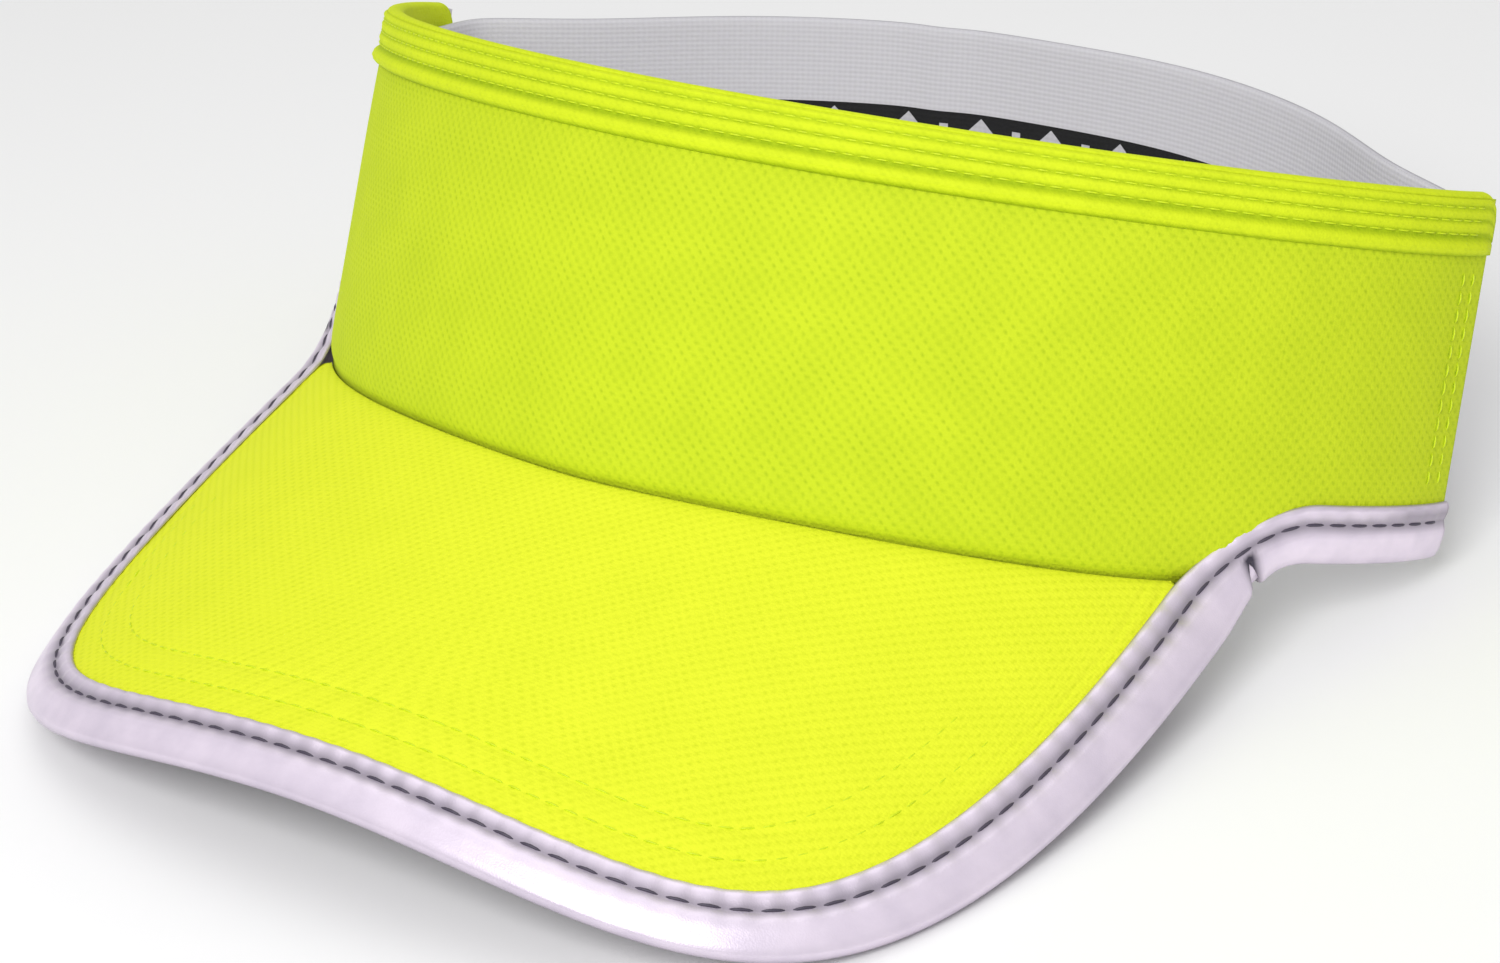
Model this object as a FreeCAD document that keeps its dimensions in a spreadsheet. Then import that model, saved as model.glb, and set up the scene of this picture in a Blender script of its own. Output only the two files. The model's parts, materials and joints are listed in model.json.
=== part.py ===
import FreeCAD, Part
import math
import os

import Sketcher
from FreeCAD import Placement, Rotation, Vector

# Open-crown sun visor: a stiffened front panel that runs from temple to temple, a sprung
# brim, reflective tape round the brim and the lower side edges, and an elastic back band.
#
# Millimetres and degrees. Working frame of the cloth: X to the wearer's right as seen
# from the front, -Y to the front, Z up, Z = 0 at the top edge of the front panel and
# Y = 0 at the panel's two ends. Everything is then tipped back as the visor stands on
# a table: on the brim's two low sides and on the lower edges at the back.

os.makedirs("parts", exist_ok=True)
doc = FreeCAD.newDocument("sun_visor")

# ---------------------------------------------------------------- driving dimensions
SIZES = [
    ("head_half_width", 104.0, "half the width across the panel's two ends, outside"),
    ("head_front_depth", 72.0, "panel ends to the front of the top edge"),
    ("head_roundness", 1.8, "power of the oval seen from above: 2 is an ellipse"),
    ("panel_front_height", 60.0, "top edge down to the brim seam at the middle"),
    ("panel_side_height", 57.5, "top edge down to the bound edge at the sides"),
    ("panel_flare", 11.8, "how far the seam stands in front of the top edge"),
    ("panel_crown", 1.5, "extra bulge half-way down the front"),
    ("knit_thickness", 0.9, "outer knit of the panel"),
    ("stiffener_thickness", 0.6, "fused buckram"),
    ("lining_thickness", 0.5, "inner lining"),
    ("ply_gap", 0.1, "air between two plies"),
    ("top_binding_cover", 9.5, "how far the top binding reaches down"),
    ("top_binding_thickness", 0.8, "one ply of the top binding"),
    ("tape_cover", 9.2, "how far the reflective tape reaches in from its fold"),
    ("tape_thickness", 0.6, "one ply of the reflective tape"),
    ("tape_stitch_inset", 3.0, "stitch row to the tape's inner edge"),
    ("brim_slope", 34.6, "fall of the brim's middle line"),
    ("brim_arch_radius", 166.0, "arch of the brim from side to side"),
    ("brim_half_width", 92.0, "middle line to the brim's side edge at the seam"),
    ("brim_length", 70.0, "seam to the tip along the middle line"),
    ("brim_corner_back", 34.0, "how far the brim's corners lie behind the seam's middle"),
    ("tape_turn_length", 7.0, "brim corner to the place where the tape starts to turn up"),
    ("brim_side_reach", 110.0, "pull of the straight side edges"),
    ("brim_front_reach", 63.0, "pull of the curved front edge"),
    ("brim_top_cloth", 0.8, "knit over the brim"),
    ("brim_board_thickness", 1.8, "plastic board"),
    ("brim_under_cloth", 0.7, "dark cloth under the brim"),
    ("brim_board_inset", 3.2, "board edge to the outside of the tape"),
    ("elastic_width", 48.0, "height of the elastic"),
    ("elastic_thickness", 1.5, "elastic"),
    ("elastic_drop", 2.5, "panel's top edge to the elastic's top edge"),
    ("elastic_overlap", 9.0, "elastic inside the panel's ends"),
    ("elastic_end_tuck", 1.7, "the elastic's ends stand in this far more than its pocket"),
    ("elastic_rise_angle", 11.9, "the elastic's back rides up by this angle"),
    ("elastic_back_depth", 49.0, "panel ends to the middle of the back"),
    ("elastic_shoulder_half", 79.0, "side-to-side place of the elastic's first bend"),
    ("elastic_shoulder_depth", 13.7, "front-to-back place of the first bend"),
    ("elastic_hip_half", 60.4, "side-to-side place of the second bend"),
    ("elastic_hip_depth", 34.0, "front-to-back place of the second bend"),
    ("elastic_back_pull", 29.0, "half the length of the flat stretch at the back"),
    ("sweatband_thickness", 1.8, "terry"),
    ("sweatband_drop", 27.0, "panel's top edge to the sweatband's top edge"),
    ("sweatband_width", 29.7, "height of the sweatband"),
    ("sweatband_end_angle", 76.0, "angle from the middle to the sweatband's ends"),
    ("label_width_angle", 7.0, "angle round the head that the care label takes"),
    ("label_centre_angle", -28.0, "where the care label hangs"),
    ("label_length", 15.0, "care label below the top binding"),
    ("label_thickness", 0.25, "woven label"),
    ("thread_width", 0.6, "a stitch row seen from above"),
    ("thread_height", 0.25, "how proud a stitch row stands"),
    ("thread_lift", 0.12, "air under a stitch row"),
    ("top_row_first", 2.6, "first stitch row below the top fold"),
    ("top_row_pitch", 2.4, "between the top binding's stitch rows"),
    ("brim_row_first", 14.0, "first brim row in from the fold"),
    ("brim_row_pitch", 5.0, "between the brim's rows"),
    ("elastic_row_inset", 3.5, "first end row in from the panel's end"),
    ("elastic_row_pitch", 3.0, "between the end rows"),
]

sheet = doc.addObject("Spreadsheet::Sheet", "Sizes")
for row, (alias, amount, meaning) in enumerate(SIZES, start=1):
    sheet.set("A%d" % row, meaning)
    sheet.set("B%d" % row, str(amount))
    sheet.setAlias("B%d" % row, alias)
doc.recompute()


def size(alias):
    """The value of one driving dimension, as the sheet holds it."""
    return float(sheet.get(alias))


# ---------------------------------------------------------------- the head's surface
PLY_GAP = size("ply_gap")
PANEL_STACK = (size("knit_thickness") + size("stiffener_thickness")
               + size("lining_thickness") + 2 * PLY_GAP)
BRIM_STACK = (size("brim_top_cloth") + size("brim_board_thickness")
              + size("brim_under_cloth") + 2 * PLY_GAP)
QUARTER_TURN = 90.0


def panel_depth(drop):
    """Front depth of the head oval at a drop below the top edge."""
    share = drop / size("panel_front_height")
    crown = 4 * size("panel_crown") * share * (1 - share)
    return size("head_front_depth") + size("panel_flare") * share + crown


def oval(angle, half_width, depth):
    """Superellipse seen from above; angle 0 is the front, positive towards +X."""
    power = 2 / size("head_roundness")
    sine = math.sin(math.radians(angle))
    cosine = math.cos(math.radians(angle))
    across = half_width * math.copysign(abs(sine) ** power, sine)
    forward = depth * math.copysign(abs(cosine) ** power, cosine)
    return across, -forward


def bare_head_point(angle, drop):
    across, back = oval(angle, size("head_half_width"), panel_depth(drop))
    return Vector(across, back, -drop)


def head_point(angle, drop, outward=0.0):
    """A point at an angle round the panel, a drop below its top edge, and a distance
    outward from the outer face of its knit, along the face's normal."""
    step = 0.01
    around = bare_head_point(angle + step, drop) - bare_head_point(angle - step, drop)
    down = bare_head_point(angle, drop + step) - bare_head_point(angle, drop - step)
    normal = down.cross(around).normalize()
    return bare_head_point(angle, drop) + normal * outward


# ---------------------------------------------------------------- the brim's surface
SLOPE = math.radians(size("brim_slope"))
BRIM_ORIGIN = Vector(0, -panel_depth(size("panel_front_height")), -size("panel_front_height"))
BRIM_OUT = Vector(0, -math.cos(SLOPE), -math.sin(SLOPE))
BRIM_UP = Vector(0, -math.sin(SLOPE), math.cos(SLOPE))


def brim_point(across, out, lift=0.0):
    """A point on the brim's arched upper face, raised by lift along the arch's radius."""
    radius = size("brim_arch_radius")
    turn = math.asin(across / radius)
    side = (radius + lift) * math.sin(turn)
    height = (radius + lift) * math.cos(turn) - radius
    return BRIM_ORIGIN + Vector(side, 0, 0) + BRIM_OUT * out + BRIM_UP * height


def height_over_brim(point):
    """Signed distance of a point over the arched upper face of the brim."""
    offset = point - BRIM_ORIGIN
    radius = size("brim_arch_radius")
    return math.hypot(offset.x, offset.dot(BRIM_UP) + radius) - radius


def seam_drop(angle):
    """Drop at which the panel's outer face meets the brim's upper face."""
    high = 0.5 * size("panel_front_height")
    low = 1.6 * size("panel_front_height")
    for _ in range(40):
        middle = 0.5 * (high + low)
        if height_over_brim(head_point(angle, middle)) > 0:
            high = middle
        else:
            low = middle
    return 0.5 * (high + low)


def brim_edge(share):
    """The brim's outline from its right corner (0) to its tip (1) as one cubic curve:
    distance across, distance out, and the unit normal that points off the edge."""
    poles = [
        (size("brim_half_width"), -size("brim_corner_back")),
        (size("brim_half_width"), size("brim_side_reach") - size("brim_corner_back")),
        (size("brim_front_reach"), size("brim_length")),
        (0.0, size("brim_length")),
    ]
    rest = 1 - share
    weights = (rest ** 3, 3 * rest ** 2 * share, 3 * rest * share ** 2, share ** 3)
    slopes = (-3 * rest ** 2, 3 * rest ** 2 - 6 * rest * share,
              6 * rest * share - 3 * share ** 2, 3 * share ** 2)
    across = sum(weight * pole[0] for weight, pole in zip(weights, poles))
    out = sum(weight * pole[1] for weight, pole in zip(weights, poles))
    run = sum(slope * pole[0] for slope, pole in zip(slopes, poles))
    climb = sum(slope * pole[1] for slope, pole in zip(slopes, poles))
    length = math.hypot(run, climb)
    return across, out, climb / length, -run / length


def brim_edge_point(share, inset, lift):
    """A point on the brim, a distance in from the fold of its tape."""
    across, out, normal_across, normal_out = brim_edge(share)
    return brim_point(across - inset * normal_across, out - inset * normal_out, lift)


# ---------------------------------------------------------------- strips of cloth
def mirrored(point):
    return Vector(-point.x, point.y, point.z)


def flattened(section):
    """The section moved onto its own mean plane, so that it can close a solid."""
    centre = Vector(0, 0, 0)
    normal = Vector(0, 0, 0)
    for start, after in zip(section, section[1:] + section[:1]):
        centre += start * (1 / len(section))
        normal += start.cross(after)
    normal.normalize()
    return [point - normal * (point - centre).dot(normal) for point in section]


def strip_solid(sections):
    """A closed solid along a row of cross-sections, each a ring of corner points: smooth
    rails join like corners, ruled faces join neighbouring rails, and flat faces end it."""
    rings = [flattened(sections[0])] + sections[1:-1] + [flattened(sections[-1])]
    places = [0.0]
    for ring, after in zip(rings, rings[1:]):
        step = sum((b - a).Length for a, b in zip(ring, after)) / len(ring)
        places.append(places[-1] + step)
    rails = []
    for corners in zip(*rings):
        rail = Part.BSplineCurve()
        rail.interpolate(Points=list(corners), Parameters=places)
        rails.append(rail.toShape())
    faces = [Part.makeRuledSurface(rail, after) for rail, after in zip(rails, rails[1:] + rails[:1])]
    for ring in (rings[0], rings[-1]):
        faces.append(Part.Face(Part.makePolygon(ring + [ring[0]])))
    shell = Part.makeCompound(faces)
    shell.sewShape()
    solid = Part.makeSolid(Part.makeShell(shell.Faces))
    if solid.Volume < 0:
        solid.reverse()
    return solid


def ply_section(angle, top, bottom, outer, inner, levels=6):
    """Cross-section of a ply on the head: down its outer face and up its inner one."""
    drops = [top + (bottom - top) * level / levels for level in range(levels + 1)]
    down = [head_point(angle, drop, outer) for drop in drops]
    up = [head_point(angle, drop, inner) for drop in reversed(drops)]
    return down + up


def spread(start, end, count):
    """Evenly spaced values from start to end, both included."""
    return [start + (end - start) * step / (count - 1) for step in range(count)]


def smooth(value, start, end):
    """0 before start, 1 after end, and an even S between."""
    share = min(max((value - start) / (end - start), 0.0), 1.0)
    return share * share * (3 - 2 * share)


def keep(name, shape):
    """A named sub-part whose cloth shape comes from the functions above."""
    feature = doc.addObject("Part::Feature", name)
    feature.Label = name
    feature.Shape = shape
    return feature


# ---------------------------------------------------------------- reflective tape
# One folded tape. Its cross-section is a U: distance in from the fold, and distance from
# the middle of the plies it holds. It wraps the brim, turns up at the brim's corner and
# runs on along the panel's lower side edge.
SIDE_TAPE_ANGLE = 68.0
NARROW_FLAP = 0.3


def share_at(out):
    """Place on the right half of the brim's outline that lies a given distance out."""
    low = 0.0
    high = 0.5
    for _ in range(40):
        middle = 0.5 * (low + high)
        if brim_edge(middle)[1] < out:
            low = middle
        else:
            high = middle
    return 0.5 * (low + high)


BRIM_TAPE_SHARE = share_at(size("tape_turn_length") - size("brim_corner_back"))


def tape_profile(half_stack, inner_flap=1.0):
    cover = size("tape_cover")
    skin = size("tape_thickness")
    half = half_stack + PLY_GAP
    inside_cover = cover * inner_flap
    outside = [(cover, half + skin), (2.5 * skin, half + skin), (0.7 * skin, 0.75 * (half + skin)),
               (0.0, 0.0),
               (0.7 * skin, -0.75 * (half + skin)), (2.5 * skin, -half - skin),
               (inside_cover, -half - skin)]
    inside = [(inside_cover, -half), (2.5 * skin, -half), (1.6 * skin, -0.6 * half),
              (1.6 * skin, 0.6 * half), (2.5 * skin, half), (cover, half)]
    return outside + inside


def on_brim(share, profile):
    middle = -BRIM_STACK / 2
    return [brim_edge_point(share, inset, middle + lift) for inset, lift in profile]


def on_side(angle, profile):
    fold = size("panel_side_height")
    middle = -PANEL_STACK / 2
    return [head_point(angle, fold - inset, middle + lift) for inset, lift in profile]


def bridge(first, first_pace, second, second_pace, share):
    """Point for point blend of two sections that leaves each at its own pace."""
    rest = 1 - share
    blend = []
    for start, start_pace, end, end_pace in zip(first, first_pace, second, second_pace):
        blend.append(start * (rest ** 2 * (1 + 2 * share)) + start_pace * (rest ** 2 * share)
                     + end * (share ** 2 * (3 - 2 * share)) - end_pace * (share ** 2 * rest))
    return blend


def corner_sections(profile_of, count):
    """Sections of the turn at the brim's corner, from the side edge to the brim."""
    angle_step = 1.0
    share_step = 0.004
    sections = []
    for share in spread(0.0, 1.0, count)[1:-1]:
        flap = 1 - (1 - NARROW_FLAP) * math.sin(math.pi * share) ** 0.5
        side_profile = profile_of(PANEL_STACK / 2, flap)
        brim_profile = profile_of(BRIM_STACK / 2, flap)
        side = on_side(SIDE_TAPE_ANGLE, side_profile)
        ahead = on_side(SIDE_TAPE_ANGLE - angle_step, side_profile)
        brim = on_brim(BRIM_TAPE_SHARE, brim_profile)
        behind = on_brim(BRIM_TAPE_SHARE - share_step, brim_profile)
        gap = (brim[3] - side[3]).Length
        side_pace = [(b - a).normalize() * gap for a, b in zip(side, ahead)]
        brim_pace = [(a - b).normalize() * gap for a, b in zip(brim, behind)]
        sections.append(bridge(side, side_pace, brim, brim_pace, share))
    return sections


def tape_sections(profile_of, corner_count=9):
    """Every section from the right end, round the brim, to the left end."""
    side_profile = profile_of(PANEL_STACK / 2, 1.0)
    brim_profile = profile_of(BRIM_STACK / 2, 1.0)
    right = [on_side(angle, side_profile) for angle in spread(QUARTER_TURN, SIDE_TAPE_ANGLE, 7)]
    right += corner_sections(profile_of, corner_count)
    shares = spread(BRIM_TAPE_SHARE, 1.0, 27)
    right += [on_brim(share, brim_profile) for share in shares]
    left = [[mirrored(point) for point in section] for section in reversed(right[:-1])]
    return right + left


def stitch_profile(cover_share_inset):
    """Profile function of a thread that lies on the tape's outer flap."""
    def profile_of(half_stack, inner_flap=1.0):
        low = half_stack + PLY_GAP + size("tape_thickness") + size("thread_lift")
        high = low + size("thread_height")
        near = size("tape_cover") - cover_share_inset - size("thread_width") / 2
        far = near + size("thread_width")
        return [(far, low), (far, high), (near, high), (near, low)]
    return profile_of


# Where the tape's inner edge crosses the panel at the corner, as angle against drop: the
# plies end just above it there, and go down into the fold of the tape past the corner.
TAPE_EDGE = [section[0] for section in corner_sections(tape_profile, 17)]


def angle_of(point):
    """Angle round the head of a point near the panel."""
    power = size("head_roundness") / 2
    sine = (abs(point.x) / size("head_half_width")) ** power
    cosine = (abs(point.y) / panel_depth(-point.z)) ** power
    return math.degrees(math.atan2(sine, cosine))


TAPE_EDGE_ANGLES = [(angle_of(point), -point.z) for point in TAPE_EDGE]
TAPE_EDGE_ANGLES.sort()


def tape_edge_drop(angle):
    """Drop of the tape's inner edge at an angle inside the corner's turn."""
    before = TAPE_EDGE_ANGLES[0]
    for after in TAPE_EDGE_ANGLES:
        if after[0] >= angle:
            if after[0] == before[0]:
                return after[1]
            share = (angle - before[0]) / (after[0] - before[0])
            return before[1] + share * (after[1] - before[1])
        before = after
    return TAPE_EDGE_ANGLES[-1][1]


SEAM_ALLOWANCE = BRIM_STACK
CORNER_START = TAPE_EDGE_ANGLES[0][0]
TAPE_ROOM = 0.4


def panel_bottom(angle):
    """Drop of the lower edge of the panel's plies."""
    around = abs(angle)
    under_brim = seam_drop(min(around, CORNER_START)) + SEAM_ALLOWANCE * (
        1 - 0.9 * smooth(around, CORNER_START - 26, CORNER_START - 8))
    over_tape = tape_edge_drop(around) - TAPE_ROOM
    in_fold = size("panel_side_height") - 2.5 * size("tape_thickness") - TAPE_ROOM
    if around <= CORNER_START:
        return min(under_brim, over_tape) if around > CORNER_START - 4 else under_brim
    if around <= SIDE_TAPE_ANGLE:
        return over_tape
    start = tape_edge_drop(SIDE_TAPE_ANGLE) - TAPE_ROOM
    return start + (in_fold - start) * smooth(around, SIDE_TAPE_ANGLE, SIDE_TAPE_ANGLE + 5)


# ---------------------------------------------------------------- front panel plies
PANEL_TOP = size("top_binding_thickness") + 2 * PLY_GAP
PANEL_ANGLES = spread(-QUARTER_TURN, QUARTER_TURN, 121)

PLIES = [
    ("front_panel", 0.0, size("knit_thickness")),
    ("panel_stiffener", size("knit_thickness") + PLY_GAP, size("stiffener_thickness")),
    ("panel_lining", size("knit_thickness") + size("stiffener_thickness") + 2 * PLY_GAP,
     size("lining_thickness")),
]
cloth = []
for name, depth, thickness in PLIES:
    sections = [ply_section(angle, PANEL_TOP, panel_bottom(angle), -depth, -depth - thickness)
                for angle in PANEL_ANGLES]
    cloth.append(keep(name, strip_solid(sections)))

# ---------------------------------------------------------------- top binding
# A strip of knit folded over the top of the three plies.


def top_binding_section(angle):
    cover = size("top_binding_cover")
    skin = size("top_binding_thickness")
    half = PANEL_STACK / 2 + PLY_GAP
    profile = [(cover, half + skin), (1.5 * skin, half + skin), (0.4 * skin, 0.7 * (half + skin)),
               (0.0, 0.0),
               (0.4 * skin, -0.7 * (half + skin)), (1.5 * skin, -half - skin),
               (cover, -half - skin), (cover, -half),
               (skin + PLY_GAP, -half), (skin + PLY_GAP, half), (cover, half)]
    return [head_point(angle, drop, -PANEL_STACK / 2 + out) for drop, out in profile]


cloth.append(keep("top_binding", strip_solid(
    [top_binding_section(angle) for angle in spread(-QUARTER_TURN, QUARTER_TURN, 61)])))

# ---------------------------------------------------------------- sweatband and label
INNER_FLAP_DEPTH = PANEL_STACK + 3 * PLY_GAP + size("tape_thickness")
sweatband_angles = spread(-size("sweatband_end_angle"), size("sweatband_end_angle"), 49)
sweatband_bottom = size("sweatband_drop") + size("sweatband_width")
cloth.append(keep("sweatband", strip_solid(
    [ply_section(angle, size("sweatband_drop"), sweatband_bottom, -INNER_FLAP_DEPTH,
                 -INNER_FLAP_DEPTH - size("sweatband_thickness"))
     for angle in sweatband_angles])))

label_top = size("top_binding_cover") + PLY_GAP
label_angles = spread(size("label_centre_angle") - size("label_width_angle") / 2,
                      size("label_centre_angle") + size("label_width_angle") / 2, 5)
cloth.append(keep("care_label", strip_solid(
    [ply_section(angle, label_top, label_top + size("label_length"), -PANEL_STACK - PLY_GAP,
                 -PANEL_STACK - PLY_GAP - size("label_thickness"), 3)
     for angle in label_angles])))

# ---------------------------------------------------------------- tape and its thread
tape_corners = tape_sections(tape_profile)
cloth.append(keep("reflective_binding", strip_solid(tape_corners)))
cloth.append(keep("binding_stitch", strip_solid(
    tape_sections(stitch_profile(size("tape_stitch_inset"))))))


# ---------------------------------------------------------------- other stitch rows
def head_row(drop, outward, angles):
    """A thread that runs round the head at one drop."""
    near = outward + size("thread_lift")
    half = size("thread_width") / 2
    return strip_solid([ply_section(angle, drop - half, drop + half, near + size("thread_height"),
                                    near, 1) for angle in angles])


def group(solids):
    return Part.makeCompound(solids)


binding_face = PLY_GAP + size("top_binding_thickness")
row_angles = spread(-QUARTER_TURN + 1, QUARTER_TURN - 1, 61)
cloth.append(keep("top_binding_stitch", group(
    [head_row(size("top_row_first") + row * size("top_row_pitch"), binding_face, row_angles)
     for row in range(3)])))

sweatband_face = -INNER_FLAP_DEPTH - size("sweatband_thickness")
thread_inside = sweatband_face - 2 * size("thread_lift") - size("thread_height")
cloth.append(keep("sweatband_stitch", head_row(
    sweatband_bottom - 3, thread_inside, sweatband_angles[1:-1])))


def brim_row(inset):
    """A thread across the brim's top, parallel to its outer edge."""
    half = size("thread_width") / 2
    low = size("thread_lift")
    high = low + size("thread_height")
    shares = spread(0.1, 1.0, 21)
    profile = [(inset + half, low), (inset + half, high), (inset - half, high), (inset - half, low)]
    right = [[brim_edge_point(share, depth, lift) for depth, lift in profile] for share in shares]
    left = [[mirrored(point) for point in section] for section in reversed(right[:-1])]
    return strip_solid(right + left)


cloth.append(keep("brim_topstitch", group(
    [brim_row(size("brim_row_first") + row * size("brim_row_pitch")) for row in range(2)])))


def end_row(inset, side):
    """A thread down the panel's end, through the elastic behind it."""
    half = size("thread_width") / 2
    near = size("thread_lift")
    far = near + size("thread_height")
    across = size("head_half_width")
    back = -inset
    drops = spread(size("top_binding_cover") + 1,
                   size("panel_side_height") - size("tape_cover") - 1, 2)
    corners = [(across + near, back - half), (across + far, back - half),
               (across + far, back + half), (across + near, back + half)]
    return strip_solid([[Vector(side * x, y, -drop) for x, y in corners] for drop in drops])


for name, side in (("elastic_stitch_left", -1), ("elastic_stitch_right", 1)):
    cloth.append(keep(name, group(
        [end_row(size("elastic_row_inset") + row * size("elastic_row_pitch"), side)
         for row in range(2)])))


# ---------------------------------------------------------------- sketch helpers
def evaluate(formula):
    """The value of a formula over the sheet's aliases."""
    return float(sheet.evalExpression(formula.replace("Sizes.", "")))


def origin_plane(body, role):
    for feature in body.Origin.OriginFeatures:
        if feature.Role == role:
            return feature
    raise ValueError("no plane " + role)


def new_sketch(body, name, role, offset=None):
    sketch = body.newObject("Sketcher::SketchObject", name)
    sketch.AttachmentSupport = (origin_plane(body, role), [""])
    sketch.MapMode = "FlatFace"
    if offset is not None:
        sketch.AttachmentOffset = offset
    return sketch


def bind_point(sketch, geometry, corner, across, along):
    """Ties one point of a sketch to two formulas over the sheet."""
    for kind, formula in (("DistanceX", across), ("DistanceY", along)):
        rule = Sketcher.Constraint(kind, -1, 1, geometry, corner, evaluate(formula))
        index = sketch.addConstraint(rule)
        sketch.setExpression("Constraints[%d]" % index, formula)


def add_outline(sketch, corners):
    """A closed polygon whose corners are pairs of formulas."""
    spots = [Vector(evaluate(across), evaluate(along), 0) for across, along in corners]
    for index, start in enumerate(spots):
        after = (index + 1) % len(spots)
        line = sketch.addGeometry(Part.LineSegment(start, spots[after]))
        bind_point(sketch, line, 1, *corners[index])
        bind_point(sketch, line, 2, *corners[after])


def add_circle(sketch, across, along, radius):
    centre = Vector(evaluate(across), evaluate(along), 0)
    circle = sketch.addGeometry(Part.Circle(centre, Vector(0, 0, 1), evaluate(radius)))
    bind_point(sketch, circle, 3, across, along)
    index = sketch.addConstraint(Sketcher.Constraint("Radius", circle, evaluate(radius)))
    sketch.setExpression("Constraints[%d]" % index, radius)


def add_curve(sketch, poles):
    """A cubic curve whose control points are pairs of formulas."""
    spots = [Vector(evaluate(across), evaluate(along), 0) for across, along in poles]
    curve = sketch.addGeometry(Part.BSplineCurve(spots, None, None, False, 3, None, False))
    first_pole = curve + 1
    sketch.exposeInternalGeometry(curve)
    for index, (across, along) in enumerate(poles):
        bind_point(sketch, first_pole + index, 3, across, along)


def pad(body, name, sketch, length):
    feature = body.newObject("PartDesign::Pad", name)
    feature.Profile = sketch
    feature.setExpression("Length", length)
    feature.Midplane = True
    return feature


def pocket(body, name, sketch, length):
    """A pocket that runs both ways from its sketch; its loss of volume is checked."""
    before = body.Shape.Volume
    feature = body.newObject("PartDesign::Pocket", name)
    feature.Profile = sketch
    feature.Midplane = True
    feature.setExpression("Length", length)
    doc.recompute()
    if body.Shape.Volume > before - 1.0:
        raise ValueError("%s cuts nothing" % name)
    return feature


# ---------------------------------------------------------------- brim plies
# Frame of the brim's bodies: X across, Y back towards the head, Z up from the middle of
# the seam. The arch's axis lies a radius below, along Y.
BRIM_FRAME = Placement(BRIM_ORIGIN, Rotation(Vector(1, 0, 0), size("brim_slope")))
BLOCK = "4 * Sizes.brim_half_width"
TAPE_INSIDE = "2.5 * Sizes.tape_thickness + 6 * Sizes.ply_gap"
PANEL_CLEARANCE = 0.15


def head_edge_tool(name, clearance):
    """Solid that takes the brim's plies back from the head: the panel's oval where the
    brim meets it, grown by a clearance."""
    drop = seam_drop(0) + BRIM_STACK
    reach = 2 * size("brim_half_width")
    depth = panel_depth(drop) + clearance
    spots = [oval(angle, size("head_half_width") + clearance, depth)
             for angle in spread(-QUARTER_TURN, QUARTER_TURN, 61)]
    top = -0.5 * size("panel_front_height")
    points = [Vector(across, back, top) for across, back in spots]
    curve = Part.BSplineCurve()
    curve.interpolate(points)
    corners = [points[-1], Vector(points[-1].x, reach, top), Vector(points[0].x, reach, top),
               points[0]]
    wire = Part.Wire([curve.toShape()] + Part.makePolygon(corners).Edges)
    tool = doc.addObject("Part::Feature", name)
    tool.Shape = Part.Face(wire).extrude(Vector(0, 0, -2 * size("panel_front_height")))
    return tool


def brim_ply(name, top, bottom, inset, tool):
    """One ply of the brim, between two lifts from the brim's upper face, as formulas."""
    body = doc.addObject("PartDesign::Body", name + "_blank")
    lower_face_lean = "(%s) * Sizes.brim_half_width / Sizes.brim_arch_radius" % bottom
    half = "Sizes.brim_half_width - (%s) + %s" % (inset, lower_face_lean)
    corner = "Sizes.brim_corner_back"
    side = "Sizes.brim_corner_back - Sizes.brim_side_reach + (%s)" % inset
    tip = "(%s) - Sizes.brim_length" % inset
    right = [(half, corner), (half, side), ("Sizes.brim_front_reach", tip), ("0 * 1", tip)]
    left = [("-(%s)" % across, along) for across, along in reversed(right)]

    outline = new_sketch(body, name + "_outline", "XY_Plane")
    add_curve(outline, right)
    add_curve(outline, left)
    back = outline.addGeometry(Part.LineSegment(
        Vector(-evaluate(half), evaluate(corner), 0), Vector(evaluate(half), evaluate(corner), 0)))
    bind_point(outline, back, 1, "-(%s)" % half, corner)
    bind_point(outline, back, 2, half, corner)
    doc.recompute()
    pad(body, name + "_pad", outline, BLOCK)
    doc.recompute()

    under = new_sketch(body, name + "_arch_under", "XZ_Plane")
    add_circle(under, "0 * 1", "-Sizes.brim_arch_radius", "Sizes.brim_arch_radius + (%s)" % bottom)
    pocket(body, name + "_hollow", under, BLOCK)

    over = new_sketch(body, name + "_arch_over", "XZ_Plane")
    add_circle(over, "0 * 1", "-Sizes.brim_arch_radius", "Sizes.brim_arch_radius + (%s)" % top)
    limit = "3 * Sizes.brim_arch_radius"
    add_outline(over, [("-(%s)" % limit, "-(%s)" % limit), (limit, "-(%s)" % limit),
                       (limit, limit), ("-(%s)" % limit, limit)])
    pocket(body, name + "_crown", over, BLOCK)

    turn = "Sizes.brim_corner_back - Sizes.tape_turn_length - Sizes.ply_gap"
    ends = new_sketch(body, name + "_ends", "XY_Plane")
    add_outline(ends, [("-(%s)" % BLOCK, turn), (BLOCK, turn), (BLOCK, BLOCK),
                       ("-(%s)" % BLOCK, BLOCK)])
    pocket(body, name + "_corners", ends, BLOCK)

    body.Placement = BRIM_FRAME
    ply = doc.addObject("Part::Cut", name)
    ply.Label = name
    ply.Base = body
    ply.Tool = tool
    return ply


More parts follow.
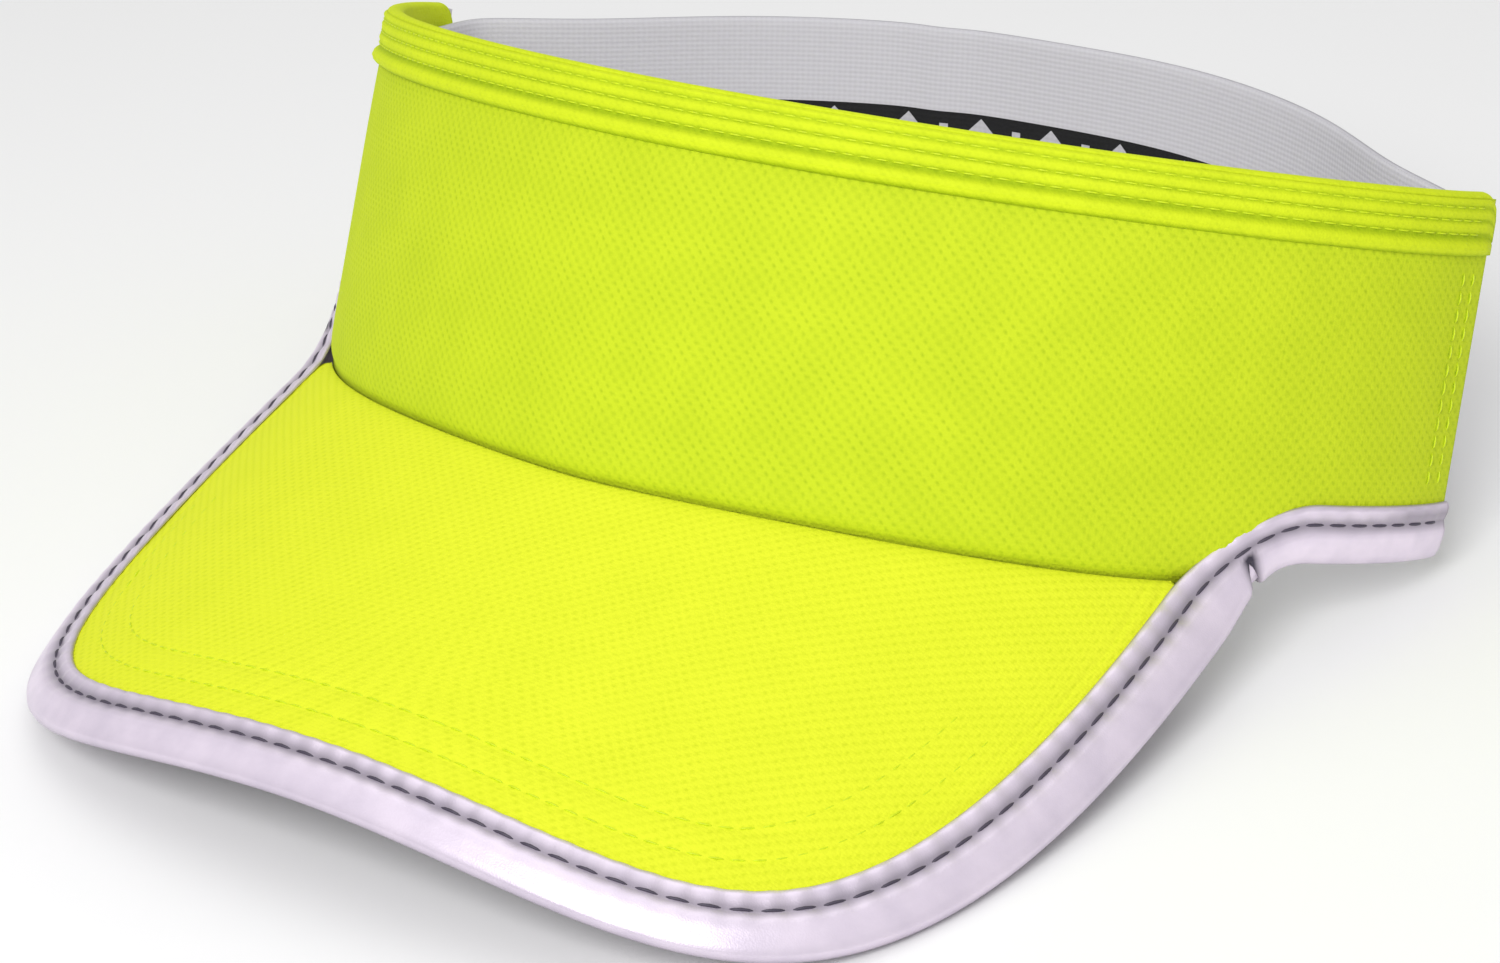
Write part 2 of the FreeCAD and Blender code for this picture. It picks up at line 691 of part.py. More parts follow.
cloth_edge = head_edge_tool("cloth_head_edge", PANEL_CLEARANCE)
board_edge = head_edge_tool("board_head_edge", size("brim_board_inset"))
BOARD_TOP = "-Sizes.brim_top_cloth - Sizes.ply_gap"
BOARD_BOTTOM = BOARD_TOP + " - Sizes.brim_board_thickness"
UNDER_TOP = BOARD_BOTTOM + " - Sizes.ply_gap"
brim = [
    brim_ply("brim_top_cover", "0 * 1", "-Sizes.brim_top_cloth", TAPE_INSIDE, cloth_edge),
    brim_ply("brim_board", BOARD_TOP, BOARD_BOTTOM, "Sizes.brim_board_inset", board_edge),
    brim_ply("brim_under_cover", UNDER_TOP, UNDER_TOP + " - Sizes.brim_under_cloth", TAPE_INSIDE,
             cloth_edge),
]

# ---------------------------------------------------------------- elastic back band
# A straight ribbon swept round the back. Its frame's origin lies between the panel's
# ends at the height of the elastic's top edge, and the back is lifted about X.
ELASTIC_CLEARANCE = 0.3
ELASTIC_FRAME = Placement(Vector(0, 0, -size("elastic_drop")),
                          Rotation(Vector(1, 0, 0), size("elastic_rise_angle")))
STACK_FORMULA = ("Sizes.knit_thickness + Sizes.stiffener_thickness + Sizes.lining_thickness"
                 " + 3 * Sizes.ply_gap + Sizes.top_binding_thickness")
ELASTIC_SIDE = ("Sizes.head_half_width - (%s) - Sizes.elastic_end_tuck - %.2f"
                " - Sizes.elastic_thickness / 2" % (STACK_FORMULA, ELASTIC_CLEARANCE))

elastic = doc.addObject("PartDesign::Body", "elastic_band")
elastic.Label = "elastic_band"
path = new_sketch(elastic, "elastic_path", "XY_Plane")
path_half = [
    (ELASTIC_SIDE, "-Sizes.elastic_overlap"),
    (ELASTIC_SIDE, "-Sizes.elastic_overlap / 9"),
    (ELASTIC_SIDE, "Sizes.elastic_overlap / 3"),
    ("Sizes.elastic_shoulder_half", "Sizes.elastic_shoulder_depth"),
    ("Sizes.elastic_hip_half", "Sizes.elastic_hip_depth"),
    ("Sizes.elastic_back_pull", "Sizes.elastic_back_depth"),
]
path_left = [("-(%s)" % across, along) for across, along in reversed(path_half)]
add_curve(path, path_half + [("0 * 1", "Sizes.elastic_back_depth")] + path_left)

ribbon = new_sketch(elastic, "elastic_section", "XZ_Plane",
                    Placement(Vector(0, 0, size("elastic_overlap")), Rotation()))
ribbon.setExpression("AttachmentOffset.Base.z", "Sizes.elastic_overlap")
near = "%s - Sizes.elastic_thickness / 2" % ELASTIC_SIDE
far = "%s + Sizes.elastic_thickness / 2" % ELASTIC_SIDE
add_outline(ribbon, [(near, "-Sizes.elastic_width"), (far, "-Sizes.elastic_width"),
                     (far, "0 * 1"), (near, "0 * 1")])
doc.recompute()
sweep = elastic.newObject("PartDesign::AdditivePipe", "elastic_sweep")
sweep.Profile = ribbon
sweep.Spine = (path, ["Edge1"])
elastic.Placement = ELASTIC_FRAME
doc.recompute()

# ---------------------------------------------------------------- standing on a table
# The visor is tipped back until the brim and the lower edges at the back stand level.
FRONT_LIMIT = -0.5 * size("head_front_depth")


def tipped(point, tilt):
    turn = math.radians(tilt)
    return point.z * math.cos(turn) - point.y * math.sin(turn)


low_points = [point for section in tape_corners for point in section]


def standing_tilt():
    """Tilt at which the lowest point in front and the lowest behind are level."""
    low = 5.0
    high = 45.0
    elastic_points = [edge.valueAt(edge.FirstParameter + share * (
        edge.LastParameter - edge.FirstParameter))
        for edge in elastic.Shape.Edges for share in spread(0.0, 1.0, 41)]
    front = [point for point in low_points if point.y < FRONT_LIMIT]
    back = [point for point in low_points if point.y >= FRONT_LIMIT] + elastic_points
    for _ in range(40):
        tilt = 0.5 * (low + high)
        front_low = min(tipped(point, tilt) for point in front)
        back_low = min(tipped(point, tilt) for point in back)
        if front_low < back_low:
            low = tilt
        else:
            high = tilt
    return 0.5 * (low + high)


tilt = standing_tilt()
lean = Placement(Vector(0, 0, 0), Rotation(Vector(1, 0, 0), -tilt))
pieces = cloth + brim + [elastic]
doc.recompute()

standing = Part.makeCompound([piece.Shape for piece in pieces])
standing.Placement = lean
box = standing.optimalBoundingBox(False)
stand = Placement(Vector(-box.Center.x, -box.Center.y, -box.ZMin), lean.Rotation)
for piece in cloth + brim:
    piece.Placement = stand
elastic.Placement = stand.multiply(ELASTIC_FRAME)
doc.recompute()

# ---------------------------------------------------------------- checks and files
for thing in doc.Objects:
    if "Invalid" in thing.State or "Error" in thing.State:
        raise RuntimeError("%s failed: %s" % (thing.Name, thing.State))
for piece in pieces:
    if piece.Shape.isNull() or not piece.Shape.isValid() or not piece.Shape.Solids:
        raise RuntimeError("%s has no valid solid" % piece.Label)
for piece in pieces:
    piece.Shape.exportStep("parts/%s.step" % piece.Label)
    bounds = piece.Shape.BoundBox
    print("%-22s %2d solids %9.1f mm3  z %.2f to %.2f" % (
        piece.Label, len(piece.Shape.Solids), piece.Shape.Volume, bounds.ZMin, bounds.ZMax))
print("tilt %.2f" % tilt)
print("size %.1f x %.1f x %.1f" % (box.XLength, box.YLength, box.ZLength))
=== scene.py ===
import json
import math

import bpy
import numpy as np
from mathutils import Matrix, Vector


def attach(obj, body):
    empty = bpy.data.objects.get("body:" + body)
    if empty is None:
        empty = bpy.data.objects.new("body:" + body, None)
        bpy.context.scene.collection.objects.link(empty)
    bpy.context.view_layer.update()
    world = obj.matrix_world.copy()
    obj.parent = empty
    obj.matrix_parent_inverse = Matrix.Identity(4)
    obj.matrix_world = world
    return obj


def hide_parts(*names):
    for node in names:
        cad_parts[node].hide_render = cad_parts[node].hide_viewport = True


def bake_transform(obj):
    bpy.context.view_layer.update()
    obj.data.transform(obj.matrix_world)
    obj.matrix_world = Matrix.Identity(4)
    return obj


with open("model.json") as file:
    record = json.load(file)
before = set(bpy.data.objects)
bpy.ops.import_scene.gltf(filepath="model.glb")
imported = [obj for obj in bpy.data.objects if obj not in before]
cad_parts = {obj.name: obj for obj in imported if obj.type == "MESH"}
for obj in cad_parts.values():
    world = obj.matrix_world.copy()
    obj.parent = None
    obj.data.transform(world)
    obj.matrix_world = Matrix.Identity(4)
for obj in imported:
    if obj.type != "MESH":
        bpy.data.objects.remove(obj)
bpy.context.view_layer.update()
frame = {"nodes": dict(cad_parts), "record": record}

# ------------------------------------------------------------------ how the visor stands
# The visor stands on a table tipped back on its brim. Its cloth is laid out in the
# wearer's frame, in millimetres: x across, y to the back, z up from the top edge of the
# front panel. The back band slides along that frame's y, so its joint gives the tilt.
BODY = "visor_body"
BACK = "back_band"
slide = next(j for j in frame["record"]["behaviour"]["joints"] if j["child"] == BACK)
back_axis = np.array(slide["axis"], float)
up_axis = np.cross([1.0, 0.0, 0.0], back_axis)
turn = np.stack([[1.0, 0.0, 0.0], back_axis, up_axis], axis=1)

HEAD_HALF_WIDTH = 104.0
HEAD_DEPTH = 72.0
HEAD_ROUNDNESS = 1.8
FRONT_HEIGHT = 60.0
SIDE_HEIGHT = 57.5
FLARE = 11.8
CROWN = 1.5
PANEL_STACK = 2.2


def panel_depth(drop):
    """Front depth of the head's oval at a drop below the top edge, in millimetres."""
    share = drop / FRONT_HEIGHT
    return HEAD_DEPTH + FLARE * share + 4 * CROWN * share * (1 - share)


def signed_power(value, power):
    """The value's size raised to a power, with its sign kept."""
    return np.sign(value) * np.abs(value) ** power


def bare_head(angle, drop):
    """Superellipse of the head: angle 0 is the front, drop runs down from the top edge."""
    power = 2 / HEAD_ROUNDNESS
    across = HEAD_HALF_WIDTH * signed_power(np.sin(np.radians(angle)), power)
    back = -panel_depth(drop) * signed_power(np.cos(np.radians(angle)), power)
    return np.stack([across, back, -drop + 0 * across], axis=-1)


def unit(vectors):
    """Each vector divided by its length."""
    return vectors / np.linalg.norm(vectors, axis=-1, keepdims=True)


def running_length(points):
    """Length along a line of points, from 0 at its first point."""
    return np.concatenate([[0], np.cumsum(np.linalg.norm(np.diff(points, axis=0), axis=1))])


def head(angle, drop, outward=0.0):
    """The head's surface moved outward along its own normal."""
    angle, drop, outward = np.broadcast_arrays(*[np.asarray(v, float) for v in (angle, drop, outward)])
    step = 0.01
    around = bare_head(angle + step, drop) - bare_head(angle - step, drop)
    down = bare_head(angle, drop + step) - bare_head(angle, drop - step)
    return bare_head(angle, drop) + unit(np.cross(down, around)) * outward[..., None]


HEAD_OPENING = np.array([0.0, -12.0, -28.0])
opening = next(m for m in frame["record"]["mounts"] if m["name"] == "head_opening")
shift = np.array(opening["pos_m"]) * 1000 - turn @ HEAD_OPENING


def placed(points):
    """Wearer's frame in millimetres to the standing visor in metres."""
    return (points @ turn.T + shift) / 1000


# ------------------------------------------------------------------ camera, floor, light
# A long lens looks down on the front left of the visor, rolled a little, over a plain
# pale table under large soft lamps.
VIEW_AZIMUTH = 31.73
VIEW_ELEVATION = 8.77
VIEW_ROLL = 8.04
VIEW_DISTANCE = 546.2
VIEW_TARGET = np.array([0.0, -21.2, -47.7])
FOCAL_LENGTH = 79.08
FRAME_SHIFT = (-0.0419, -0.0735)

azimuth, elevation, roll = np.radians([VIEW_AZIMUTH, VIEW_ELEVATION, VIEW_ROLL])
look_back = np.array([np.sin(azimuth) * np.cos(elevation), -np.cos(azimuth) * np.cos(elevation),
                      np.sin(elevation)])
level_right = np.array([np.cos(azimuth), np.sin(azimuth), 0.0])
level_up = np.cross(look_back, level_right)
right = np.cos(roll) * level_right + np.sin(roll) * level_up
above = -np.sin(roll) * level_right + np.cos(roll) * level_up
camera = bpy.data.objects.new("camera", bpy.data.cameras.new("camera"))
bpy.context.scene.collection.objects.link(camera)
pose = np.eye(4)
pose[:3, :3] = turn @ np.stack([right, above, look_back], axis=1)
pose[:3, 3] = placed(VIEW_TARGET + look_back * VIEW_DISTANCE)
camera.matrix_world = Matrix(pose.tolist())
camera.data.lens = FOCAL_LENGTH
camera.data.shift_x, camera.data.shift_y = FRAME_SHIFT
bpy.context.scene.camera = camera


def linear(colour):
    """sRGB hex to the linear values that shaders and lamps take."""
    parts = [int(colour[i:i + 2], 16) / 255 for i in (0, 2, 4)]
    return tuple(p / 12.92 if p <= 0.04045 else ((p + 0.055) / 1.055) ** 2.4 for p in parts) + (1.0,)


def add_node(tree, kind, inputs=None, **settings):
    """Adds a node. Inputs are values or other nodes' outputs, by the socket's name or number."""
    node = tree.nodes.new(kind)
    for name, value in settings.items():
        setattr(node, name, value)
    for name, value in (inputs or {}).items():
        if isinstance(value, bpy.types.NodeSocket):
            tree.links.new(value, node.inputs[name])
        else:
            node.inputs[name].default_value = value
    return node


def wave_scale(period_mm):
    """Scale that gives a Wave Texture bands of this period in millimetres."""
    return 2 * math.pi * 1000 / (20 * period_mm)


def new_material(name):
    """A material, its node tree, and its Principled shader."""
    material = bpy.data.materials.new(name)
    material.use_nodes = True
    shader = material.node_tree.nodes["Principled BSDF"]
    return material, material.node_tree, shader


def mesh_object(name, points, faces, material, smooth=True):
    """A mesh from an array of points in metres and a list of faces."""
    mesh = bpy.data.meshes.new(name)
    mesh.from_pydata(np.asarray(points).reshape(-1, 3).tolist(), [], faces)
    mesh.validate()
    mesh.polygons.foreach_set("use_smooth", [smooth] * len(mesh.polygons))
    mesh.materials.append(material)
    piece = bpy.data.objects.new(name, mesh)
    bpy.context.scene.collection.objects.link(piece)
    return piece


def mark_points(piece, label, values):
    """Writes one value per point, which a material reads by its label."""
    attribute = piece.data.attributes.new(label, "FLOAT", "POINT")
    attribute.data.foreach_set("value", np.ravel(values).astype(np.float32))


def lay_cloth(piece, flat):
    """Maps the piece from each point's place on the flat cloth, in millimetres."""
    loops = np.zeros(len(piece.data.loops), np.int32)
    piece.data.loops.foreach_get("vertex_index", loops)
    layer = piece.data.uv_layers.new(name="cloth")
    layer.data.foreach_set("uv", (flat.reshape(-1, 2)[loops] / 1000).astype(np.float32).ravel())


def between(tree, share, first, second):
    """Colour that goes from the first to the second as the share goes from 0 to 1."""
    return add_node(tree, "ShaderNodeMix", {0: share, 6: first, 7: second},
                    data_type="RGBA").outputs[2]


def dress(tree, shader, colour, roughness, height, strength, depth, invert=False):
    """Gives a shader its colour, its roughness, and a bump of a depth in metres."""
    bump = add_node(tree, "ShaderNodeBump", {"Height": height, "Strength": strength,
                                             "Distance": depth}, invert=invert)
    tree.links.new(colour, shader.inputs["Base Color"])
    tree.links.new(bump.outputs[0], shader.inputs["Normal"])
    shader.inputs["Roughness"].default_value = roughness


FLOOR_HALF = 3.0
paper, _, paper_shader = new_material("seamless_paper")
paper_shader.inputs["Base Color"].default_value = linear("FBFBFB")
paper_shader.inputs["Roughness"].default_value = 0.9
floor_corners = [(-FLOOR_HALF, -FLOOR_HALF, 0), (FLOOR_HALF, -FLOOR_HALF, 0),
                 (FLOOR_HALF, FLOOR_HALF, 0), (-FLOOR_HALF, FLOOR_HALF, 0)]
floor = mesh_object("floor", floor_corners, [(0, 1, 2, 3)], paper, smooth=False)

bpy.context.scene.view_settings.view_transform = "Standard"
world = bpy.data.worlds.new("soft_room")
world.use_nodes = True
world.node_tree.nodes["Background"].inputs["Color"].default_value = linear("FFFFFF")
world.node_tree.nodes["Background"].inputs["Strength"].default_value = 0.5
bpy.context.scene.world = world


def soft_lamp(name, spot, aim, width, power):
    """A square lamp at a spot that points at its aim: width in metres, power in watts."""
    lamp = bpy.data.objects.new(name, bpy.data.lights.new(name, "AREA"))
    lamp.data.size = width
    lamp.data.energy = power
    lamp.location = spot
    lamp.rotation_euler = (Vector(aim) - Vector(spot)).to_track_quat("-Z", "Y").to_euler()
    bpy.context.scene.collection.objects.link(lamp)


soft_lamp("key_lamp", (0.24, -0.78, 0.72), (0, 0, 0.03), 0.5, 6.8)
soft_lamp("top_lamp", (-0.1, 0.15, 0.95), (0, 0, 0.03), 0.8, 1.5)


# ------------------------------------------------------------------ outer knit of the panel
# One piece of hi-vis bird's-eye knit from temple to temple: soft polyester whose tiny
# dimples sit in staggered rows. It hangs from the top binding and is sewn to the brim.
# The panel's yellow and its dimple colour are set darker than the brim's and binding's yellows of this
# same knit: painted shade for the upright panel, which faces away from the top light.
SHADED_PANEL_YELLOW = "CBDD22"
KNIT_SHADE = "9AB60A"
KNIT_THICKNESS = 0.9
DIMPLE_ACROSS = 2.0
DIMPLE_DOWN = 2.0
DIMPLE_DEPTH = 0.12
PANEL_CELL = 0.46

BRIM_SLOPE = math.radians(34.6)
BRIM_RADIUS = 166.0
BRIM_ORIGIN = np.array([0.0, -panel_depth(FRONT_HEIGHT), -FRONT_HEIGHT])
BRIM_OUT = np.array([0.0, -math.cos(BRIM_SLOPE), -math.sin(BRIM_SLOPE)])
BRIM_UP = np.array([0.0, -math.sin(BRIM_SLOPE), math.cos(BRIM_SLOPE)])


def brim(across, out, lift=0.0):
    """The brim's upper face: a cylinder's arch from side to side, straight along its slope."""
    arch = np.arcsin(across / BRIM_RADIUS)
    side = (BRIM_RADIUS + lift) * np.sin(arch)
    rise = (BRIM_RADIUS + lift) * np.cos(arch) - BRIM_RADIUS
    return (BRIM_ORIGIN + side[..., None] * np.array([1.0, 0, 0])
            + np.asarray(out, float)[..., None] * BRIM_OUT + rise[..., None] * BRIM_UP)


def seam_drop(angle):
    """Drop at which the panel meets the brim, by halving an interval."""
    high = np.full_like(angle, 0.5 * FRONT_HEIGHT)
    low = np.full_like(angle, 1.6 * FRONT_HEIGHT)
    for _ in range(30):
        middle = 0.5 * (high + low)
        offset = bare_head(angle, middle) - BRIM_ORIGIN
        over = np.hypot(offset[..., 0], offset @ BRIM_UP + BRIM_RADIUS) - BRIM_RADIUS
        high = np.where(over > 0, middle, high)
        low = np.where(over > 0, low, middle)
    return 0.5 * (high + low)


def ease(value, start, end):
    """0 at the start and 1 at the end, with a level slope at both."""
    share = np.clip((value - start) / (end - start), 0, 1)
    return share * share * (3 - 2 * share)


ANGLE_TABLE = np.linspace(-90, 90, 1441)
MIDDLE_DROP = 30.0
ROUND_TABLE = running_length(bare_head(ANGLE_TABLE, MIDDLE_DROP))
PANEL_LENGTH = ROUND_TABLE[-1]


def angle_at(along):
    """Angle round the head at a length along the panel from its left end."""
    return np.interp(along, ROUND_TABLE, ANGLE_TABLE)


def dimples(across, down):
    """0 on the face of the knit and 1 in a dimple, on a staggered lattice."""
    wave = np.cos(2 * np.pi * across / DIMPLE_ACROSS) * np.cos(2 * np.pi * down / DIMPLE_DOWN)
    return np.clip(wave, 0, 1) ** 1.5


def grid_faces(rows, columns, first=0, flip=False):
    """Quads between neighbouring rows and columns of a grid of points."""
    corner = first + (np.arange(rows - 1)[:, None] * columns + np.arange(columns - 1)).ravel()
    quads = np.stack([corner, corner + columns, corner + columns + 1, corner + 1], axis=1)
    return (quads[:, ::-1] if flip else quads).tolist()


def shell(name, outer, inner, material, marks=None, uv=None):
    """A ply: two grids with the same columns, closed along all four edges. Marks and uv
    belong to the outer grid's points. The inner grid is unmarked and takes the uv of the
    outer rows it lies behind."""
    rows, columns = outer.shape[:2]
    levels = inner.shape[0]
    start = rows * columns
    faces = grid_faces(rows, columns) + grid_faces(levels, columns, start, flip=True)
    top_inner = start
    low_inner = start + (levels - 1) * columns
    low_outer = (rows - 1) * columns
    for c in range(columns - 1):
        faces.append((c, c + 1, top_inner + c + 1, top_inner + c))
        faces.append((low_outer + c, low_inner + c, low_inner + c + 1, low_outer + c + 1))
    left = [r * columns for r in range(rows)] + [start + r * columns for r in reversed(range(levels))]
    far = columns - 1
    faces.append(tuple(reversed(left)))
    faces.append(tuple(point + far for point in left))
    points = np.concatenate([outer.reshape(-1, 3), inner.reshape(-1, 3)])
    piece = mesh_object(name, placed(points), faces, material)
    for label, values in (marks or {}).items():
        mark_points(piece, label, np.concatenate([values.ravel(), np.zeros(levels * columns)]))
    if uv is not None:
        behind = np.linspace(0, rows - 1, levels).astype(int)
        lay_cloth(piece, np.concatenate([uv.reshape(-1, 2), uv[behind].reshape(-1, 2)]))
    return piece


def knit_material(name, face, shade, yarn_mm=0.55):
    """Bird's-eye polyester knit: matt with a soft sheen, darker in its dimples as painted shade
    (with random patches mixed in), each loop a small rounded bump."""
    material, tree, shader = new_material(name)
    mark = add_node(tree, "ShaderNodeAttribute", attribute_name="dimple")
    cloth = add_node(tree, "ShaderNodeUVMap", uv_map="cloth")
    patches = add_node(tree, "ShaderNodeTexNoise", {"Vector": cloth.outputs[0], "Scale": 90.0,
                                                    "Detail": 3.0})
    spread = add_node(tree, "ShaderNodeMapRange", {"Value": patches.outputs[0], "From Min": 0.3,
                                                   "From Max": 0.7, "To Min": 0.0, "To Max": 0.14})
    depth = add_node(tree, "ShaderNodeMath", {0: mark.outputs["Fac"], 1: 0.6}, operation="MULTIPLY")
    total = add_node(tree, "ShaderNodeMath", {0: depth.outputs[0], 1: spread.outputs[0]},
                     operation="ADD", use_clamp=True)
    colour = between(tree, total.outputs[0], linear(face), linear(shade))
    loops = add_node(tree, "ShaderNodeTexVoronoi", {"Vector": cloth.outputs[0],
                                                    "Scale": 1000 / yarn_mm, "Randomness": 0.55})
    dress(tree, shader, colour, 0.78, loops.outputs["Distance"], 0.45, 0.00018, invert=True)
    shader.inputs["Sheen Weight"].default_value = 0.25
    shader.inputs["Sheen Roughness"].default_value = 0.5
    shader.inputs["Sheen Tint"].default_value = linear(face)
    shader.inputs["Specular IOR Level"].default_value = 0.25
    return material


panel_knit = knit_material("birdseye_knit_panel", SHADED_PANEL_YELLOW, KNIT_SHADE)
columns = int(PANEL_LENGTH / PANEL_CELL)
rows = int(FRONT_HEIGHT / PANEL_CELL)
along = np.linspace(0, PANEL_LENGTH, columns)
angles = angle_at(along)
TURN_START = 52.0
TURN_END = 70.0
SEAM_END = 58.0
PANEL_TOP = 1.0
SEAM_ALLOWANCE = 1.6
IN_TAPE = 3.0
side_share = ease(np.abs(angles), TURN_START, TURN_END)
seam = seam_drop(np.clip(angles, -SEAM_END, SEAM_END))
lower = (seam + SEAM_ALLOWANCE) * (1 - side_share) + (SIDE_HEIGHT - IN_TAPE) * side_share
share = np.linspace(0, 1, rows)[:, None]
drop = PANEL_TOP + (lower - PANEL_TOP) * share
across_cloth = np.broadcast_to(along, drop.shape)
pits = dimples(across_cloth, drop)
soft_wave = 0.25 * np.sin(across_cloth / 17.0 + drop / 23.0) * np.sin(drop / FRONT_HEIGHT * np.pi)
roll_under = -1.1 * np.exp(-np.clip(seam - drop, -2, 60) / 1.1) * (1 - side_share)
outward = -DIMPLE_DEPTH * pits + soft_wave + roll_under
edge_fade = ease(np.minimum(along, PANEL_LENGTH - along), 0.0, 6.0)
panel_outer = head(angles, drop, outward * edge_fade)
levels = np.linspace(0, 1, 4)[:, None]
panel_inner = head(angles, PANEL_TOP + (lower - PANEL_TOP) * levels, -KNIT_THICKNESS)
# The dimple mark darkens the panel's knit in its dimples: painted shade.
panel = shell("front_panel_knit", panel_outer, panel_inner, panel_knit, {"dimple": pits},
              np.stack([across_cloth, drop], axis=-1))
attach(panel, BODY)
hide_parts("front_panel")

# ------------------------------------------------------------------ top binding
# A strip of the same knit folded over the panel's top edge. Rows of cover stitch press it
# into lengthwise ribs, and its lower edge rolls out as a proud lip.
BINDING_COVER = 9.6
BINDING_SKIN = 0.8
RIB_GROOVES = (2.3, 4.3, 6.4)
END_ROUND = 3.6
FOLD_DEPTH = 0.9
# The binding is the same knit given a lighter yellow than the panel: painted light on its upward top
# edge.
binding_knit = knit_material("birdseye_knit_binding", "D9EA20", "94B004", yarn_mm=0.5)


def ring_solid(name, rings, material, uv=None, values=None, label="dimple"):
    """A closed solid through rings of points: quads round it, and a flat face at each end."""
    count, around = rings.shape[:2]
    start = (np.arange(count - 1)[:, None] * around + np.arange(around)).ravel()
    after = (np.arange(count - 1)[:, None] * around + (np.arange(around) + 1) % around).ravel()
    quads = np.stack([start, after, after + around, start + around], axis=1).tolist()
    last = (count - 1) * around
    quads.append(tuple(reversed(range(around))))
    quads.append(tuple(range(last, last + around)))
    piece = mesh_object(name, placed(rings.reshape(-1, 3)), quads, material)
    outside_in(piece)
    if values is not None:
        mark_points(piece, label, values)
    if uv is not None:
        lay_cloth(piece, uv)
    return piece


def outside_in(piece):
    """Turns every face outwards when the closed mesh came out with its faces inwards."""
    mesh = piece.data
    mesh.calc_loop_triangles()
    points = np.zeros(len(mesh.vertices) * 3, np.float32)
    mesh.vertices.foreach_get("co", points)
    corners = np.zeros(len(mesh.loop_triangles) * 3, np.int32)
    mesh.loop_triangles.foreach_get("vertices", corners)
    a, b, c = points.reshape(-1, 3)[corners.reshape(-1, 3)].transpose(1, 0, 2).astype(float)
    if (a * np.cross(b, c)).sum() < 0:
        mesh.flip_normals()


def rib_height(drop):
    """How proud the outer flap stands: ribs between the stitch rows and a lip at the edge."""
    groove = sum(np.exp(-((drop - place) / 0.42) ** 2) for place in RIB_GROOVES)
    lip = 0.6 * np.exp(-((drop - 8.4) / 0.95) ** 2)
    valley = 0.4 * np.exp(-((drop - 7.0) / 0.45) ** 2)
    fine_rib = 0.05 * np.cos(2 * np.pi * drop / 0.78)
    return 0.35 - 0.34 * groove - valley + lip + fine_rib


outer_drops = np.concatenate([np.linspace(FOLD_DEPTH, 9.2, 44), [9.55, 9.75]])
outer_out = 0.55 + rib_height(outer_drops)
outer_out[0] = 0.30
outer_out[1] = 0.62
outer_out[-2:] = [0.75, 0.25]
crown_turn = np.linspace(0, np.pi, 9)
crown_half = PANEL_STACK / 2 + BINDING_SKIN
crown_drops = FOLD_DEPTH - FOLD_DEPTH * np.sin(crown_turn)
crown_outs = -PANEL_STACK / 2 - (crown_half - 0.4) * np.cos(crown_turn)
inner_drops = np.array([9.5, 8.0, 6.0, 4.0, 2.0])
inner_outs = np.full(5, -PANEL_STACK - BINDING_SKIN)
hollow_drops = np.array([9.5, 1.4, 1.4, 9.5])
hollow_outs = np.array([0.12, 0.12, -PANEL_STACK - 0.08, -PANEL_STACK - 0.08])
profile_drop = np.concatenate([inner_drops, crown_drops, outer_drops, hollow_drops])
profile_out = np.concatenate([inner_outs, crown_outs, outer_out, hollow_outs])

binding_along = np.linspace(0.0, PANEL_LENGTH, 430)
binding_angle = angle_at(binding_along)
from_end = np.clip(np.minimum(binding_along, PANEL_LENGTH - binding_along), 0, END_ROUND)
end_drop = END_ROUND - np.sqrt(END_ROUND ** 2 - (END_ROUND - from_end) ** 2)
pucker = 0.10 * np.sin(binding_along / 3.1) + 0.08 * np.sin(binding_along / 5.3 + 1.0)
ring_drop = end_drop[:, None] + profile_drop * (BINDING_COVER - end_drop[:, None]) / BINDING_COVER
ring_out = profile_out + pucker[:, None] * ease(profile_drop, 6.0, 9.0) * (profile_out > 0.2)
end_flat = ease(from_end, 0.0, 4.0)[:, None]
ring_out = np.where(ring_out > 0.55, 0.55 + (ring_out - 0.55) * end_flat, ring_out)
rings = head(binding_angle[:, None], ring_drop, ring_out)
cloth_down = np.cumsum(np.concatenate([[0], np.hypot(np.diff(profile_drop), np.diff(profile_out))]))
binding_uv = np.stack(np.broadcast_arrays(binding_along[:, None], cloth_down), axis=-1)
# Painted shade: the binding's knit is darkened along the stitched grooves, in the valley above the lip
# and under the lip's lower edge, on top of the painted shade in its dimples.
groove_shade = sum(np.exp(-((profile_drop - place) / 0.4) ** 2) for place in RIB_GROOVES + (7.0, 9.7))
groove_shade = 0.9 * np.where(profile_out > 0.1, groove_shade, 0.0)
binding_shade = groove_shade + 0.35 * dimples(binding_uv[..., 0] * 1.25, binding_uv[..., 1] * 1.4)
top_binding = ring_solid("top_binding_knit", rings, binding_knit, binding_uv, binding_shade)
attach(top_binding, BODY)
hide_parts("top_binding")


# ------------------------------------------------------------------ thread
# Polyester sewing thread: each stitch is a short rounded bead that dips into the cloth at
# both ends.
def thread_material(name, colour):
    """Spun polyester thread: slightly glossy, with a fine twist."""
    material, tree, shader = new_material(name)
    place = add_node(tree, "ShaderNodeTexCoord")
    twist = add_node(tree, "ShaderNodeTexNoise", {"Vector": place.outputs["Object"],
                                                  "Scale": 2500.0, "Detail": 2.0})
    tint = add_node(tree, "ShaderNodeMapRange", {"Value": twist.outputs[0], "To Min": 0.75,
                                                 "To Max": 1.1})
    mixed = add_node(tree, "ShaderNodeVectorMath", {0: linear(colour)[:3],
                                                    "Scale": tint.outputs[0]}, operation="SCALE")
    dress(tree, shader, mixed.outputs[0], 0.5, twist.outputs[0], 0.4, 0.0001)
    return material


